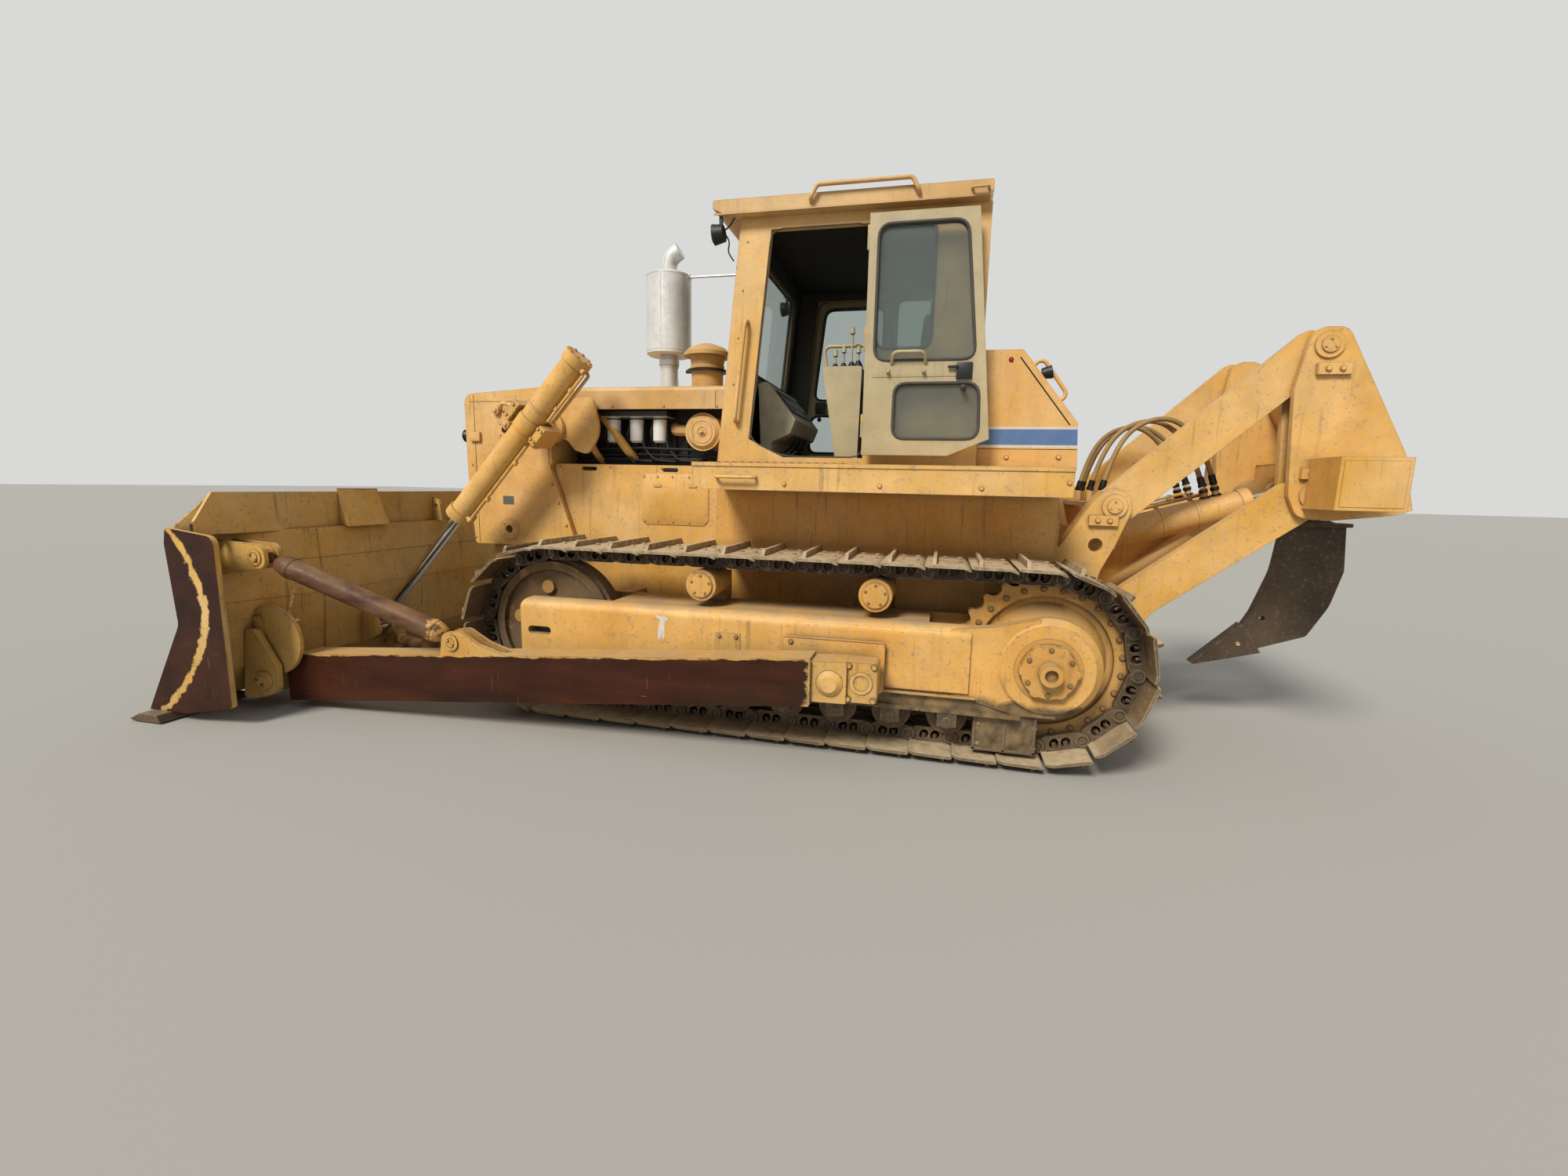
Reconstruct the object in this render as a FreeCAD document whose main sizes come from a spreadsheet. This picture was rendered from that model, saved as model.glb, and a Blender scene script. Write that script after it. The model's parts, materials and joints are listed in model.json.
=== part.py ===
import FreeCAD, Part
import math
import os
import Sketcher

# Crawler dozer with a semi-U blade and a parallelogram ripper.
# X runs forward from the sprocket centre while the pieces are made, Y to the left, Z up from the ground.
# Every finished piece is then moved back by middle_x, so that the origin is at the middle of the machine.

sizes = {
    # undercarriage
    "shoe_pitch": 250.0,
    "shoe_count": 38,
    "sprocket_teeth": 25,
    "shoe_width": 610.0,
    "shoe_plate": 18.0,
    "grouser_height": 42.0,
    "grouser_thick": 24.0,
    "grouser_share": 0.16,
    "link_above_pin": 44.0,
    "link_below_pin": 48.0,
    "link_thick": 46.0,
    "chain_inner_gap": 124.0,
    "bushing_radius": 33.0,
    "track_gauge": 2130.0,
    "sprocket_thick": 100.0,
    "rim_recess": 385.0,
    "cone_radius": 350.0,
    "cone_end_radius": 240.0,
    "hub_radius": 150.0,
    "hub_lobe_ring": 128.0,
    "hub_lobe_radius": 34.0,
    "hub_reach": 125.0,
    "final_drive_radius": 300.0,
    "idler_width": 190.0,
    "idler_boss_ring": 265.0,
    "idler_boss_radius": 46.0,
    "idler_axle_radius": 60.0,
    "roller_radius": 100.0,
    "roller_axle_radius": 40.0,
    "roller_count": 7,
    "roller_spacing": 330.0,
    "roller_first": 530.0,
    "carrier_radius": 100.0,
    "carrier_cap_radius": 76.0,
    "carrier_rear": 980.0,
    "carrier_front": 2070.0,
    "running_gap": 0.3,
    # track frame
    "beam_width": 530.0,
    "beam_plate": 90.0,
    "beam_bottom": 430.0,
    "beam_top": 820.0,
    "beam_front": 3320.0,
    "beam_edge_round": 70.0,
    "beam_head_radius": 292.0,
    "beam_box_rear": 660.0,
    "beam_box_front": 2690.0,
    "rail_bottom": 305.0,
    "rail_rear": 150.0,
    "rail_front": 2760.0,
    "guard_block_rear": 30.0,
    "guard_block_front": 380.0,
    "cross_shaft_x": 800.0,
    "cross_shaft_z": 620.0,
    # hull
    "hull_half": 420.0,
    "hull_bottom": 430.0,
    "hull_top": 1080.0,
    "hull_front": 4180.0,
    "case_gap": 85.0,
    "case_rear": -80.0,
    "case_front": 2160.0,
    "case_bottom": 480.0,
    "case_top": 1560.0,
    "fender_outer": 1300.0,
    "fender_rear": -55.0,
    "fender_front": 2114.0,
    "fender_top": 1722.0,
    "fender_nose": 60.0,
    # nose and hood
    "guard_half": 550.0,
    "guard_front": 4300.0,
    "guard_rear": 3540.0,
    "guard_foot_rear": 3350.0,
    "guard_bottom": 1080.0,
    "guard_top": 2240.0,
    "guard_boss_x": 3940.0,
    "guard_boss_radius": 78.0,
    "slat_count": 12,
    "engine_head_half": 210.0,
    "hood_half": 500.0,
    "hood_top": 2290.0,
    "hood_rear": 2170.0,
    "hood_band": 165.0,
    "sheet_wall": 12.0,
    "panel_top": 1720.0,
    "muffler_x": 2775.0,
    "muffler_y": 100.0,
    "muffler_radius": 172.0,
    "muffler_bottom": 2570.0,
    "muffler_top": 3175.0,
    "stack_radius": 62.0,
    "elbow_bend": 110.0,
    "elbow_bottom": 3228.0,
    "brace_rod_z": 3150.0,
    "precleaner_x": 2402.0,
    "precleaner_y": 250.0,
    "precleaner_radius": 176.0,
    "air_cleaner_x": 2370.0,
    "air_cleaner_z": 1968.0,
    "air_cleaner_radius": 134.0,
    "filter_first": 2740.0,
    "filter_spacing": 190.0,
    "filter_radius": 52.0,
    "filter_top": 2130.0,
    "filter_bottom": 1890.0,
    # cab
    "cab_rear": 440.0,
    "cab_front": 2115.0,
    "cab_front_top": 1965.0,
    "cab_half": 850.0,
    "cab_wall": 50.0,
    "cab_floor_top": 1775.0,
    "cab_ceiling": 3250.0,
    "roof_thick": 90.0,
    "roof_half": 925.0,
    "roof_front": 2127.0,
    "pane_low": 2380.0,
    "pane_high": 3130.0,
    "pane_half": 640.0,
    "rear_pane_low": 2470.0,
    "rear_pane_high": 3120.0,
    "rear_pane_half": 560.0,
    "side_pane_rear": 750.0,
    "side_pane_front": 1090.0,
    "side_pane_low": 2440.0,
    "side_pane_high": 3170.0,
    "glass_thick": 8.0,
    "door_hinge": 1140.0,
    "door_top": 3185.0,
    "door_bottom": 1790.0,
    "door_front_top": 1770.0,
    "door_front_low": 1900.0,
    "door_corner": 1890.0,
    "door_corner_run": 236.0,
    "door_thick": 40.0,
    "door_gap": 5.0,
    "hinge_reach": 18.0,
    "hinge_radius": 12.0,
    "hinge_height": 90.0,
    "rail_radius": 13.0,
    "seat_x": 800.0,
    "seat_half": 260.0,
    "seat_top": 2190.0,
    "seat_back_top": 2780.0,
    "dash_half": 400.0,
    "lever_inner": 420.0,
    "lever_outer": 640.0,
    "lever_top": 2380.0,
    "tank_rear": -150.0,
    "tank_half": 800.0,
    "tank_top": 2430.0,
    "tank_shoulder": 2000.0,
    # blade and push arms
    "trunnion_x": 1180.0,
    "trunnion_z": 510.0,
    "trunnion_radius": 75.0,
    "arm_gap": 120.0,
    "arm_thick": 200.0,
    "arm_rear": 1290.0,
    "arm_front": 4925.0,
    "arm_cap_rear": 918.0,
    "arm_cap_front": 1095.0,
    "blade_back": 5020.0,
    "blade_half": 2030.0,
    "blade_centre_half": 1250.0,
    "wing_offset": 170.0,
    "blade_top": 1215.0,
    "spill_top": 1470.0,
    "end_plate_thick": 35.0,
    "edge_height": 60.0,
    "edge_reach": 430.0,
    "brace_low_x": 3600.0,
    "brace_low_z": 560.0,
    "brace_top_x": 4855.0,
    "brace_top_z": 1065.0,
    "brace_pin_radius": 30.0,
    "brace_radius": 52.0,
    "arm_pin_x": 4989.0,
    "arm_pin_z": 216.0,
    "strut_x": 3990.0,
    "strut_z": 430.0,
    "strut_radius": 44.0,
    "lift_y": 850.0,
    "lift_top_x": 3530.0,
    "lift_top_z": 1985.0,
    "lift_eye_x": 4950.0,
    "lift_eye_z": 430.0,
    "lift_barrel_radius": 88.0,
    "lift_rod_radius": 40.0,
    "lift_behind": 590.0,
    "lift_ahead": 925.0,
    "yoke_pin_reach": 160.0,
    # ripper
    "ripper_y": 540.0,
    "ripper_link_thick": 80.0,
    "ripper_plate": 40.0,
    "upper_front_x": -420.0,
    "upper_front_z": 1510.0,
    "upper_rear_x": -1455.0,
    "upper_rear_z": 2451.0,
    "lower_rear_x": -1481.0,
    "lower_rear_z": 1603.0,
    "ripper_pin_radius": 45.0,
    "ripper_boss_radius": 74.0,
    "ripper_cylinder_x": -330.0,
    "ripper_cylinder_z": 1265.0,
    "ripper_cylinder_y": 250.0,
    "ripper_barrel_radius": 95.0,
    "ripper_rod_radius": 45.0,
    "ripper_ahead": 1010.0,
    "service_bore_radius": 42.0,
    "tool_beam_front": -1600.0,
    "tool_beam_rear": -1901.0,
    "beam_end_front": -1434.0,
    "beam_end_rear": -1771.0,
    "beam_half": 950.0,
    "shank_front": -1620.0,
    "shank_back": -1880.0,
    "shank_rear": -2000.0,
    "shank_half": 37.0,
    "hose_radius": 16.0,
    "hose_port": 170.0,
    "port_seat": 10.0,
    "shelf_seat": 3.8,
}

doc = FreeCAD.newDocument("Dozer")
sheet = doc.addObject("Spreadsheet::Sheet", "Sizes")


class Size:
    """A length with its value and the expression that says where it comes from."""

    def __init__(self, value, text):
        self.value = value
        self.text = text

    @staticmethod
    def of(other):
        return other if isinstance(other, Size) else Size(float(other), f"{other:.10g}")

    def __add__(self, other):
        other = Size.of(other)
        return Size(self.value + other.value, f"({self.text} + {other.text})")

    def __radd__(self, other):
        return Size.of(other) + self

    def __sub__(self, other):
        other = Size.of(other)
        return Size(self.value - other.value, f"({self.text} - {other.text})")

    def __rsub__(self, other):
        return Size.of(other) - self

    def __mul__(self, other):
        other = Size.of(other)
        return Size(self.value * other.value, f"({self.text} * {other.text})")

    def __rmul__(self, other):
        return Size.of(other) * self

    def __truediv__(self, other):
        other = Size.of(other)
        return Size(self.value / other.value, f"({self.text} / {other.text})")

    def __rtruediv__(self, other):
        return Size.of(other) / self

    def __neg__(self):
        return Size(-self.value, f"(-1 * {self.text})")


class Named:
    pass


d = Named()
for row, (name, number) in enumerate(sizes.items(), start=1):
    cell = f"B{row}"
    sheet.set(f"A{row}", name)
    sheet.set(cell, f"{number:.10g}")
    sheet.setAlias(cell, name)
    setattr(d, name, Size(float(number), f"Sizes.{name}"))
doc.recompute()


def sine(degrees):
    degrees = Size.of(degrees)
    return Size(math.sin(math.radians(degrees.value)), f"sin({degrees.text})")


def cosine(degrees):
    degrees = Size.of(degrees)
    return Size(math.cos(math.radians(degrees.value)), f"cos({degrees.text})")


def length(a, b):
    square = a * a + b * b
    return Size(math.sqrt(square.value), f"sqrt({square.text})")


def slope(rise, run):
    angle = math.degrees(math.atan2(rise.value, run.value))
    return Size(angle, f"atan2({rise.text}; {run.text})")


def bind(thing, path, size):
    thing.setExpression(path, Size.of(size).text)


planes = {"XY": "XY_Plane", "XZ": "XZ_Plane", "YZ": "YZ_Plane"}


def addLoop(sketch, corners):
    """Closed outline through corners (u, v) or (u, v, radius), each bound to its sizes."""
    points = [FreeCAD.Vector(Size.of(c[0]).value, Size.of(c[1]).value, 0) for c in corners]
    count = len(points)
    arriving, leaving, arcs = [], [], []
    for i, corner in enumerate(corners):
        here = points[i]
        if len(corner) < 3:
            arriving.append(here)
            leaving.append(here)
            arcs.append(None)
            continue
        radius = Size.of(corner[2])
        back = (points[i - 1] - here).normalize()
        ahead = (points[(i + 1) % count] - here).normalize()
        half = back.getAngle(ahead) / 2
        run = radius.value / math.tan(half)
        start = here + back * run
        end = here + ahead * run
        centre = here + (back + ahead).normalize() * (radius.value / math.sin(half))
        left_turn = (here - points[i - 1]).cross(points[(i + 1) % count] - here).z > 0
        arriving.append(start)
        leaving.append(end)
        arcs.append((centre, start, end, left_turn, radius))
    lines = []
    for i in range(count):
        segment = Part.LineSegment(leaving[i], arriving[(i + 1) % count])
        lines.append(sketch.addGeometry(segment, False))
    for i, corner in enumerate(corners):
        before, after = lines[i - 1], lines[i]
        if arcs[i] is None:
            sketch.addConstraint(Sketcher.Constraint("Coincident", before, 2, after, 1))
            target = after
        else:
            centre, start, end, left_turn, radius = arcs[i]
            first, last = (start, end) if left_turn else (end, start)
            circle = Part.Circle(centre, FreeCAD.Vector(0, 0, 1), radius.value)
            angles = [math.atan2(p.y - centre.y, p.x - centre.x) for p in (first, last)]
            arc = sketch.addGeometry(Part.ArcOfCircle(circle, *angles), False)
            at_in, at_out = (1, 2) if left_turn else (2, 1)
            sketch.addConstraint(Sketcher.Constraint("Tangent", before, 2, arc, at_in))
            sketch.addConstraint(Sketcher.Constraint("Tangent", after, 1, arc, at_out))
            rule = sketch.addConstraint(Sketcher.Constraint("Radius", arc, radius.value))
            bind(sketch, f"Constraints[{rule}]", radius)
            target = sketch.addGeometry(Part.Point(points[i]), True)
            sketch.addConstraint(Sketcher.Constraint("PointOnObject", target, 1, before))
            sketch.addConstraint(Sketcher.Constraint("PointOnObject", target, 1, after))
        for kind, size, place in (
            ("DistanceX", corner[0], points[i].x), ("DistanceY", corner[1], points[i].y)
        ):
            rule = sketch.addConstraint(Sketcher.Constraint(kind, target, 1, place))
            bind(sketch, f"Constraints[{rule}]", size)


def addCircle(sketch, u, v, radius):
    u, v, radius = Size.of(u), Size.of(v), Size.of(radius)
    centre = FreeCAD.Vector(u.value, v.value, 0)
    ring = sketch.addGeometry(Part.Circle(centre, FreeCAD.Vector(0, 0, 1), radius.value), False)
    for kind, size in (("DistanceX", u), ("DistanceY", v)):
        rule = sketch.addConstraint(Sketcher.Constraint(kind, ring, 3, size.value))
        bind(sketch, f"Constraints[{rule}]", size)
    rule = sketch.addConstraint(Sketcher.Constraint("Radius", ring, radius.value))
    bind(sketch, f"Constraints[{rule}]", radius)


def addSketch(body, name, plane, offset, corners, openings=(), circles=()):
    sketch = body.newObject("Sketcher::SketchObject", name)
    role = planes[plane]
    origin = [f for f in body.Origin.OriginFeatures if f.Role == role][0]
    sketch.AttachmentSupport = [(origin, "")]
    sketch.MapMode = "FlatFace"
    bind(sketch, "AttachmentOffset.Base.z", offset)
    addLoop(sketch, corners)
    for opening in openings:
        addLoop(sketch, opening)
    for circle in circles:
        addCircle(sketch, *circle)
    return sketch


def plate(name, plane, corners, low, high, openings=(), circles=()):
    """A body padded from one sketch, from low to high along the plane's own axis."""
    low, high = Size.of(low), Size.of(high)
    body = doc.addObject("PartDesign::Body", name)
    offset = -high if plane == "XZ" else low
    sketch = addSketch(body, name + "_sketch", plane, offset, corners, openings, circles)
    pad = body.newObject("PartDesign::Pad", name + "_pad")
    pad.Profile = sketch
    bind(pad, "Length", high - low)
    sketch.Visibility = False
    return body


def place(thing, x, y, z):
    for axis, size in zip("xyz", (x, y, z)):
        bind(thing, f"Placement.Base.{axis}", size)


turns = {
    "X": FreeCAD.Rotation(FreeCAD.Vector(0, 1, 0), 90),
    "Y": FreeCAD.Rotation(FreeCAD.Vector(1, 0, 0), -90),
    "Z": FreeCAD.Rotation(),
}


def box(name, x0, x1, y0, y1, z0, z1):
    block = doc.addObject("Part::Box", name)
    for side, low, high in (("Length", x0, x1), ("Width", y0, y1), ("Height", z0, z1)):
        bind(block, side, Size.of(high) - low)
    place(block, x0, y0, z0)
    return block


def bar(name, axis, low, high, a, b, radius, radius2=None):
    """A round bar or cone along an axis; a and b are its place on the two other axes, in XYZ order."""
    kind = "Part::Cylinder" if radius2 is None else "Part::Cone"
    round_ = doc.addObject(kind, name)
    if radius2 is None:
        bind(round_, "Radius", radius)
    else:
        bind(round_, "Radius1", radius)
        bind(round_, "Radius2", radius2)
    bind(round_, "Height", Size.of(high) - low)
    round_.Placement = FreeCAD.Placement(FreeCAD.Vector(), turns[axis])
    spots = {"X": (low, a, b), "Y": (a, low, b), "Z": (a, b, low)}[axis]
    place(round_, *spots)
    return round_


def cut(name, base, tools):
    tool = tools if not isinstance(tools, (list, tuple)) else fuse(name + "_tools", tools)
    result = doc.addObject("Part::Cut", name)
    result.Base = base
    result.Tool = tool
    return result


def fuse(name, things):
    if len(things) == 1:
        return things[0]
    result = doc.addObject("Part::MultiFuse", name)
    result.Shapes = things
    result.Refine = True
    return result


def together(name, things):
    """Like pieces that don't touch, kept as separate solids."""
    result = doc.addObject("Part::Compound", name)
    result.Links = things
    return result


def mirrored(name, thing):
    other = doc.addObject("Part::Mirroring", name)
    other.Source = thing
    other.Normal = FreeCAD.Vector(0, 1, 0)
    return other


def pair(name, left):
    return together(name, [left, mirrored(name + "_right", left)])


def feature(name, shape):
    thing = doc.addObject("Part::Feature", name)
    thing.Shape = shape
    return thing


def rod(name, start, end, radius):
    """A round bar between two points in space."""
    a = FreeCAD.Vector(*[Size.of(v).value for v in start])
    b = FreeCAD.Vector(*[Size.of(v).value for v in end])
    return feature(name, Part.makeCylinder(Size.of(radius).value, (b - a).Length, a, b - a))


def bent(name, points, radius, turn):
    """A round tube along straight runs through points, with arcs of radius turn at its corners."""
    spots = [FreeCAD.Vector(*[Size.of(v).value for v in point]) for point in points]
    turns_at = turn if isinstance(turn, (list, tuple)) else [turn] * (len(spots) - 2)
    edges = []
    last = spots[0]
    for before, corner, after, bend in zip(spots, spots[1:], spots[2:], turns_at):
        back = (before - corner).normalize()
        ahead = (after - corner).normalize()
        half = back.getAngle(ahead) / 2
        bend = Size.of(bend).value
        run = bend / math.tan(half)
        start = corner + back * run
        end = corner + ahead * run
        middle = corner + (back + ahead).normalize() * (bend / math.sin(half) - bend)
        edges.append(Part.LineSegment(last, start).toShape())
        edges.append(Part.Arc(start, middle, end).toShape())
        last = end
    edges.append(Part.LineSegment(last, spots[-1]).toShape())
    along = (spots[1] - spots[0]).normalize()
    section = Part.Wire([Part.makeCircle(Size.of(radius).value, spots[0], along)])
    return feature(name, Part.Wire(edges).makePipeShell([section], True, True))


def turned(start, end, steps, eye_radius, eye_half, bore):
    """A turned bar between two pins along Y, with a bored eye at each; steps: (share of the way, radius)."""
    ends = [FreeCAD.Vector(*[Size.of(v).value for v in point]) for point in (start, end)]
    way = ends[1] - ends[0]
    corners = [FreeCAD.Vector(share * way.Length, radius, 0) for share, radius in steps]
    corners = [FreeCAD.Vector(corners[0].x, 0, 0), *corners, FreeCAD.Vector(corners[-1].x, 0, 0)]
    across = FreeCAD.Vector(0, 1, 0)
    shaft = Part.Face(Part.makePolygon(corners + corners[:1])).revolve(
        FreeCAD.Vector(), FreeCAD.Vector(1, 0, 0), 360
    )
    shaft.Placement = FreeCAD.Placement(ends[0], FreeCAD.Rotation(FreeCAD.Vector(1, 0, 0), way))
    eyes = [
        Part.makeCylinder(eye_radius, 2 * eye_half, point - across * eye_half, across) for point in ends
    ]
    bores = [
        Part.makeCylinder(bore, 2 * eye_half + 2, point - across * (eye_half + 1), across) for point in ends
    ]
    return shaft.multiFuse(eyes).cut(bores)


nodes = {}
middle_x = (d.blade_back + d.wing_offset + d.edge_reach + d.shank_rear) / 2


def finish(label, thing):
    """Names a finished piece and moves it so that the origin is at the middle of the machine."""
    whole = together(label + "_node", [thing])
    whole.Label = label
    bind(whole, "Placement.Base.x", -middle_x)
    nodes[label] = whole


# Places worked out from the driving sizes
pin_circle = d.shoe_pitch / (2 * sine(360 / d.sprocket_teeth))
shoe_top = d.link_above_pin + d.shoe_plate
axle_z = pin_circle + shoe_top + d.grouser_height
idler_x = (d.shoe_count - d.sprocket_teeth / 2) / 2 * d.shoe_pitch
track_y = d.track_gauge / 2
bottom_pins = axle_z - pin_circle
top_pins = axle_z + pin_circle
beam_outer_face = track_y + d.beam_width / 2
beam_inner_face = track_y - d.beam_width / 2
case_half = beam_inner_face - d.case_gap
arm_inner = beam_outer_face + d.arm_gap


def pinPlaces():
    """Pins of one track in the XZ plane, from the foot of the sprocket forward and round."""
    pitch, radius, centre = d.shoe_pitch.value, pin_circle.value, axle_z.value
    run = idler_x.value / pitch
    wrap = d.sprocket_teeth.value / 4
    step = 2 * math.pi / (d.sprocket_teeth.value / 2)
    places = []
    for i in range(int(d.shoe_count.value)):
        if i <= run:
            places.append((i * pitch, centre - radius))
        elif i <= run + wrap:
            turn = (i - run) * step
            places.append((idler_x.value + radius * math.sin(turn), centre - radius * math.cos(turn)))
        elif i <= 2 * run + wrap:
            places.append((idler_x.value - (i - run - wrap) * pitch, centre + radius))
        else:
            turn = (i - 2 * run - wrap) * step
            places.append((-radius * math.sin(turn), centre + radius * math.cos(turn)))
    return places


def chainOutline(places, profile, joint):
    """Closed outline round the chain. Profile: (share of the pitch, height) on each link; joint: height at the pins."""
    count = len(places)
    corners = []
    for i in range(count):
        x0, z0 = places[i]
        x1, z1 = places[(i + 1) % count]
        xb, zb = places[i - 1]
        along = FreeCAD.Vector(x1 - x0, 0, z1 - z0)
        out = FreeCAD.Vector(along.z, 0, -along.x).normalize()
        before = FreeCAD.Vector(x0 - xb, 0, z0 - zb)
        out_before = FreeCAD.Vector(before.z, 0, -before.x).normalize()
        middle = (out + out_before).normalize()
        reach = joint / middle.dot(out)
        corners.append(FreeCAD.Vector(x0, 0, z0) + middle * reach)
        for share, height in profile:
            corners.append(FreeCAD.Vector(x0, 0, z0) + along * share + out * height)
    return corners


def ring(outer, inner, y_low, y_high):
    """A closed band between two outlines, as wide as y_low to y_high."""
    faces = [Part.Face(Part.makePolygon(line + [line[0]])) for line in (outer, inner)]
    band = faces[0].cut(faces[1])
    band.translate(FreeCAD.Vector(0, y_low, 0))
    return band.extrude(FreeCAD.Vector(0, y_high - y_low, 0))


def makeTrack():
    """Shoes with one grouser each, carried by two strands of links."""
    places = pinPlaces()
    pitch = d.shoe_pitch.value
    under, top = d.link_above_pin.value, shoe_top.value
    tip = top + d.grouser_height.value
    foot = d.grouser_share.value
    width = d.grouser_thick.value / pitch
    shoe_profile = [
        (foot - width, top), (foot - 0.3 * width, tip), (foot + 0.3 * width, tip), (foot + width, top),
        (0.95, top)
    ]
    shoes = ring(
        chainOutline(places, shoe_profile, top - 10),
        chainOutline(places, [], under),
        track_y.value - d.shoe_width.value / 2,
        track_y.value + d.shoe_width.value / 2,
    )
    below = d.link_below_pin.value
    link_profile = [(0.1, -below), (0.9, -below)]
    strands = []
    inner_gap, thick = d.chain_inner_gap.value / 2, d.link_thick.value
    for low in (inner_gap, -inner_gap - thick):
        strands.append(ring(
            chainOutline(places, [], under),
            chainOutline(places, link_profile, -below * 0.6),
            track_y.value + low,
            track_y.value + low + thick,
        ))
    return shoes.multiFuse(strands)


def makeSprocket():
    """A toothed rim with a round seat for every bushing, on a dished hub."""
    teeth = int(d.sprocket_teeth.value)
    seat = d.bushing_radius.value + 1
    rim = pin_circle.value
    half = d.sprocket_thick.value / 2
    step = 360.0 / teeth
    tooth = [
        (0, rim - seat), (0.22, rim - 0.72 * seat), (0.40, rim + 8), (0.60, rim + 8),
        (0.78, rim - 0.72 * seat)
    ]
    corners = []
    for i in range(teeth):
        for share, radius in tooth:
            turn = math.radians((i + share) * step)
            corners.append(FreeCAD.Vector(radius * math.sin(turn), 0, -radius * math.cos(turn)))
    face = Part.Face(Part.makePolygon(corners + [corners[0]]))
    face.translate(FreeCAD.Vector(0, track_y.value - half, axle_z.value))
    return face.extrude(FreeCAD.Vector(0, 2 * half, 0))


# Tracks
track_left = feature("track_loop", makeTrack())
finish("track_left", track_left)
finish("track_right", mirrored("track_loop_right", track_left))

# Sprockets: toothed rim, dished cone, hub and a lobed cap
rim_outer = track_y + d.sprocket_thick / 2
cone_end = beam_outer_face - d.beam_plate - 30
cap_low, cap_high = beam_outer_face + 5, beam_outer_face + 50
sprocket_rim = cut("sprocket_rim_recessed", feature("sprocket_rim", makeSprocket()),
                   bar("rim_recess", "Y", rim_outer - 30, rim_outer + 1, 0.0, axle_z, d.rim_recess))
hub_lobes = []
for i in range(6):
    x, z = d.hub_lobe_ring * sine(60 * i + 30), axle_z + d.hub_lobe_ring * cosine(60 * i + 30)
    hub_lobes.append(bar(f"hub_lobe_{i}", "Y", cap_low, cap_high, x, z, d.hub_lobe_radius))
sprocket = fuse("sprocket_whole", [
    sprocket_rim,
    bar("sprocket_cone", "Y", rim_outer - 31, cone_end, 0.0, axle_z, d.cone_radius, d.cone_end_radius),
    bar("sprocket_hub", "Y", cone_end - 1, cap_high, 0.0, axle_z, d.hub_radius),
    bar("hub_boss", "Y", cap_high - 1, beam_outer_face + d.hub_reach, 0.0, axle_z, 62),
] + hub_lobes)
hub_hollow = bar(
    "hub_hollow", "Y", beam_outer_face + d.hub_reach - 35, beam_outer_face + d.hub_reach + 1, 0.0, axle_z,
    34
)
finish("sprockets", pair("sprocket_pair", cut("sprocket", sprocket, hub_hollow)))
drive_case = fuse("drive_case", [
    bar("drive_drum", "Y", case_half, track_y - 130, 0.0, axle_z, d.final_drive_radius),
    bar(
        "drive_end", "Y", track_y - 131, track_y - d.sprocket_thick / 2, 0.0, axle_z, d.final_drive_radius,
        220
    ),
])
finish("final_drives", pair("final_drive_pair", drive_case))

# Idlers: recessed discs with five bosses, on slide blocks inside the forks of the track frames
idler_radius = pin_circle * cosine(360 / d.sprocket_teeth) - d.link_below_pin - 1
idler_flange = d.chain_inner_gap / 2 - 4
idler_side = track_y + d.idler_width / 2
fork_inner, fork_outer = beam_inner_face + d.beam_plate + 0.3, beam_outer_face - d.beam_plate - 0.3
idler_disc = cut("idler_disc", fuse("idler_blank", [
    bar("idler_tread", "Y", track_y - d.idler_width / 2, idler_side, idler_x, axle_z, idler_radius),
    bar(
        "idler_flange", "Y", track_y - idler_flange, track_y + idler_flange, idler_x, axle_z,
        idler_radius + 22
    ),
]), [
    bar("idler_recess", "Y", idler_side - 35, idler_side + 1, idler_x, axle_z, idler_radius - 55),
    bar("idler_recess_inner", "Y", track_y - d.idler_width / 2 - 1, track_y - d.idler_width / 2 + 35, idler_x, axle_z,
        idler_radius - 55),
])
idler_bosses = []
for i in range(5):
    x = idler_x + d.idler_boss_ring * sine(72 * i + 8)
    z = axle_z + d.idler_boss_ring * cosine(72 * i + 8)
    idler_bosses.append(
        bar(f"idler_boss_{i}", "Y", idler_side - 36, idler_side - 8, x, z, d.idler_boss_radius)
    )
idler = fuse("idler", [
    idler_disc,
    bar("idler_hub", "Y", track_y - d.idler_width / 2 - 20, idler_side + 20, idler_x, axle_z, 130),
    bar("idler_axle", "Y", fork_inner, fork_outer, idler_x, axle_z, d.idler_axle_radius),
    box(
        "idler_block_outer", idler_x - 130, idler_x + 110, idler_side + 30, fork_outer, axle_z - 75,
        axle_z + 75
    ),
    box(
        "idler_block_inner", idler_x - 130, idler_x + 110, fork_inner, track_y - d.idler_width / 2 - 30,
        axle_z - 75, axle_z + 75
    ),
] + idler_bosses)
finish("idlers", pair("idler_pair", idler))

# Track rollers hang under the rails on their axle caps; carrier rollers stand on the beam
roller_z = bottom_pins + d.link_below_pin + d.roller_radius + d.running_gap
carrier_z = top_pins - d.link_below_pin - d.carrier_radius - d.running_gap
chain_half = d.chain_inner_gap / 2 + d.link_thick
rollers = []
for i in range(int(d.roller_count.value)):
    x = d.roller_first + i * d.roller_spacing
    rollers.append(
        bar(f"roller_{i}", "Y", track_y - chain_half, track_y + chain_half, x, roller_z, d.roller_radius)
    )
    rollers.append(
        bar(f"roller_axle_{i}", "Y", beam_inner_face, beam_outer_face, x, roller_z, d.roller_axle_radius)
    )
    for side, low in (("inner", beam_inner_face), ("outer", beam_outer_face - 60)):
        rollers.append(
            box(f"roller_cap_{side}_{i}", x - 55, x + 55, low, low + 60, roller_z - 30, d.rail_bottom)
        )
carriers = []
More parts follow.
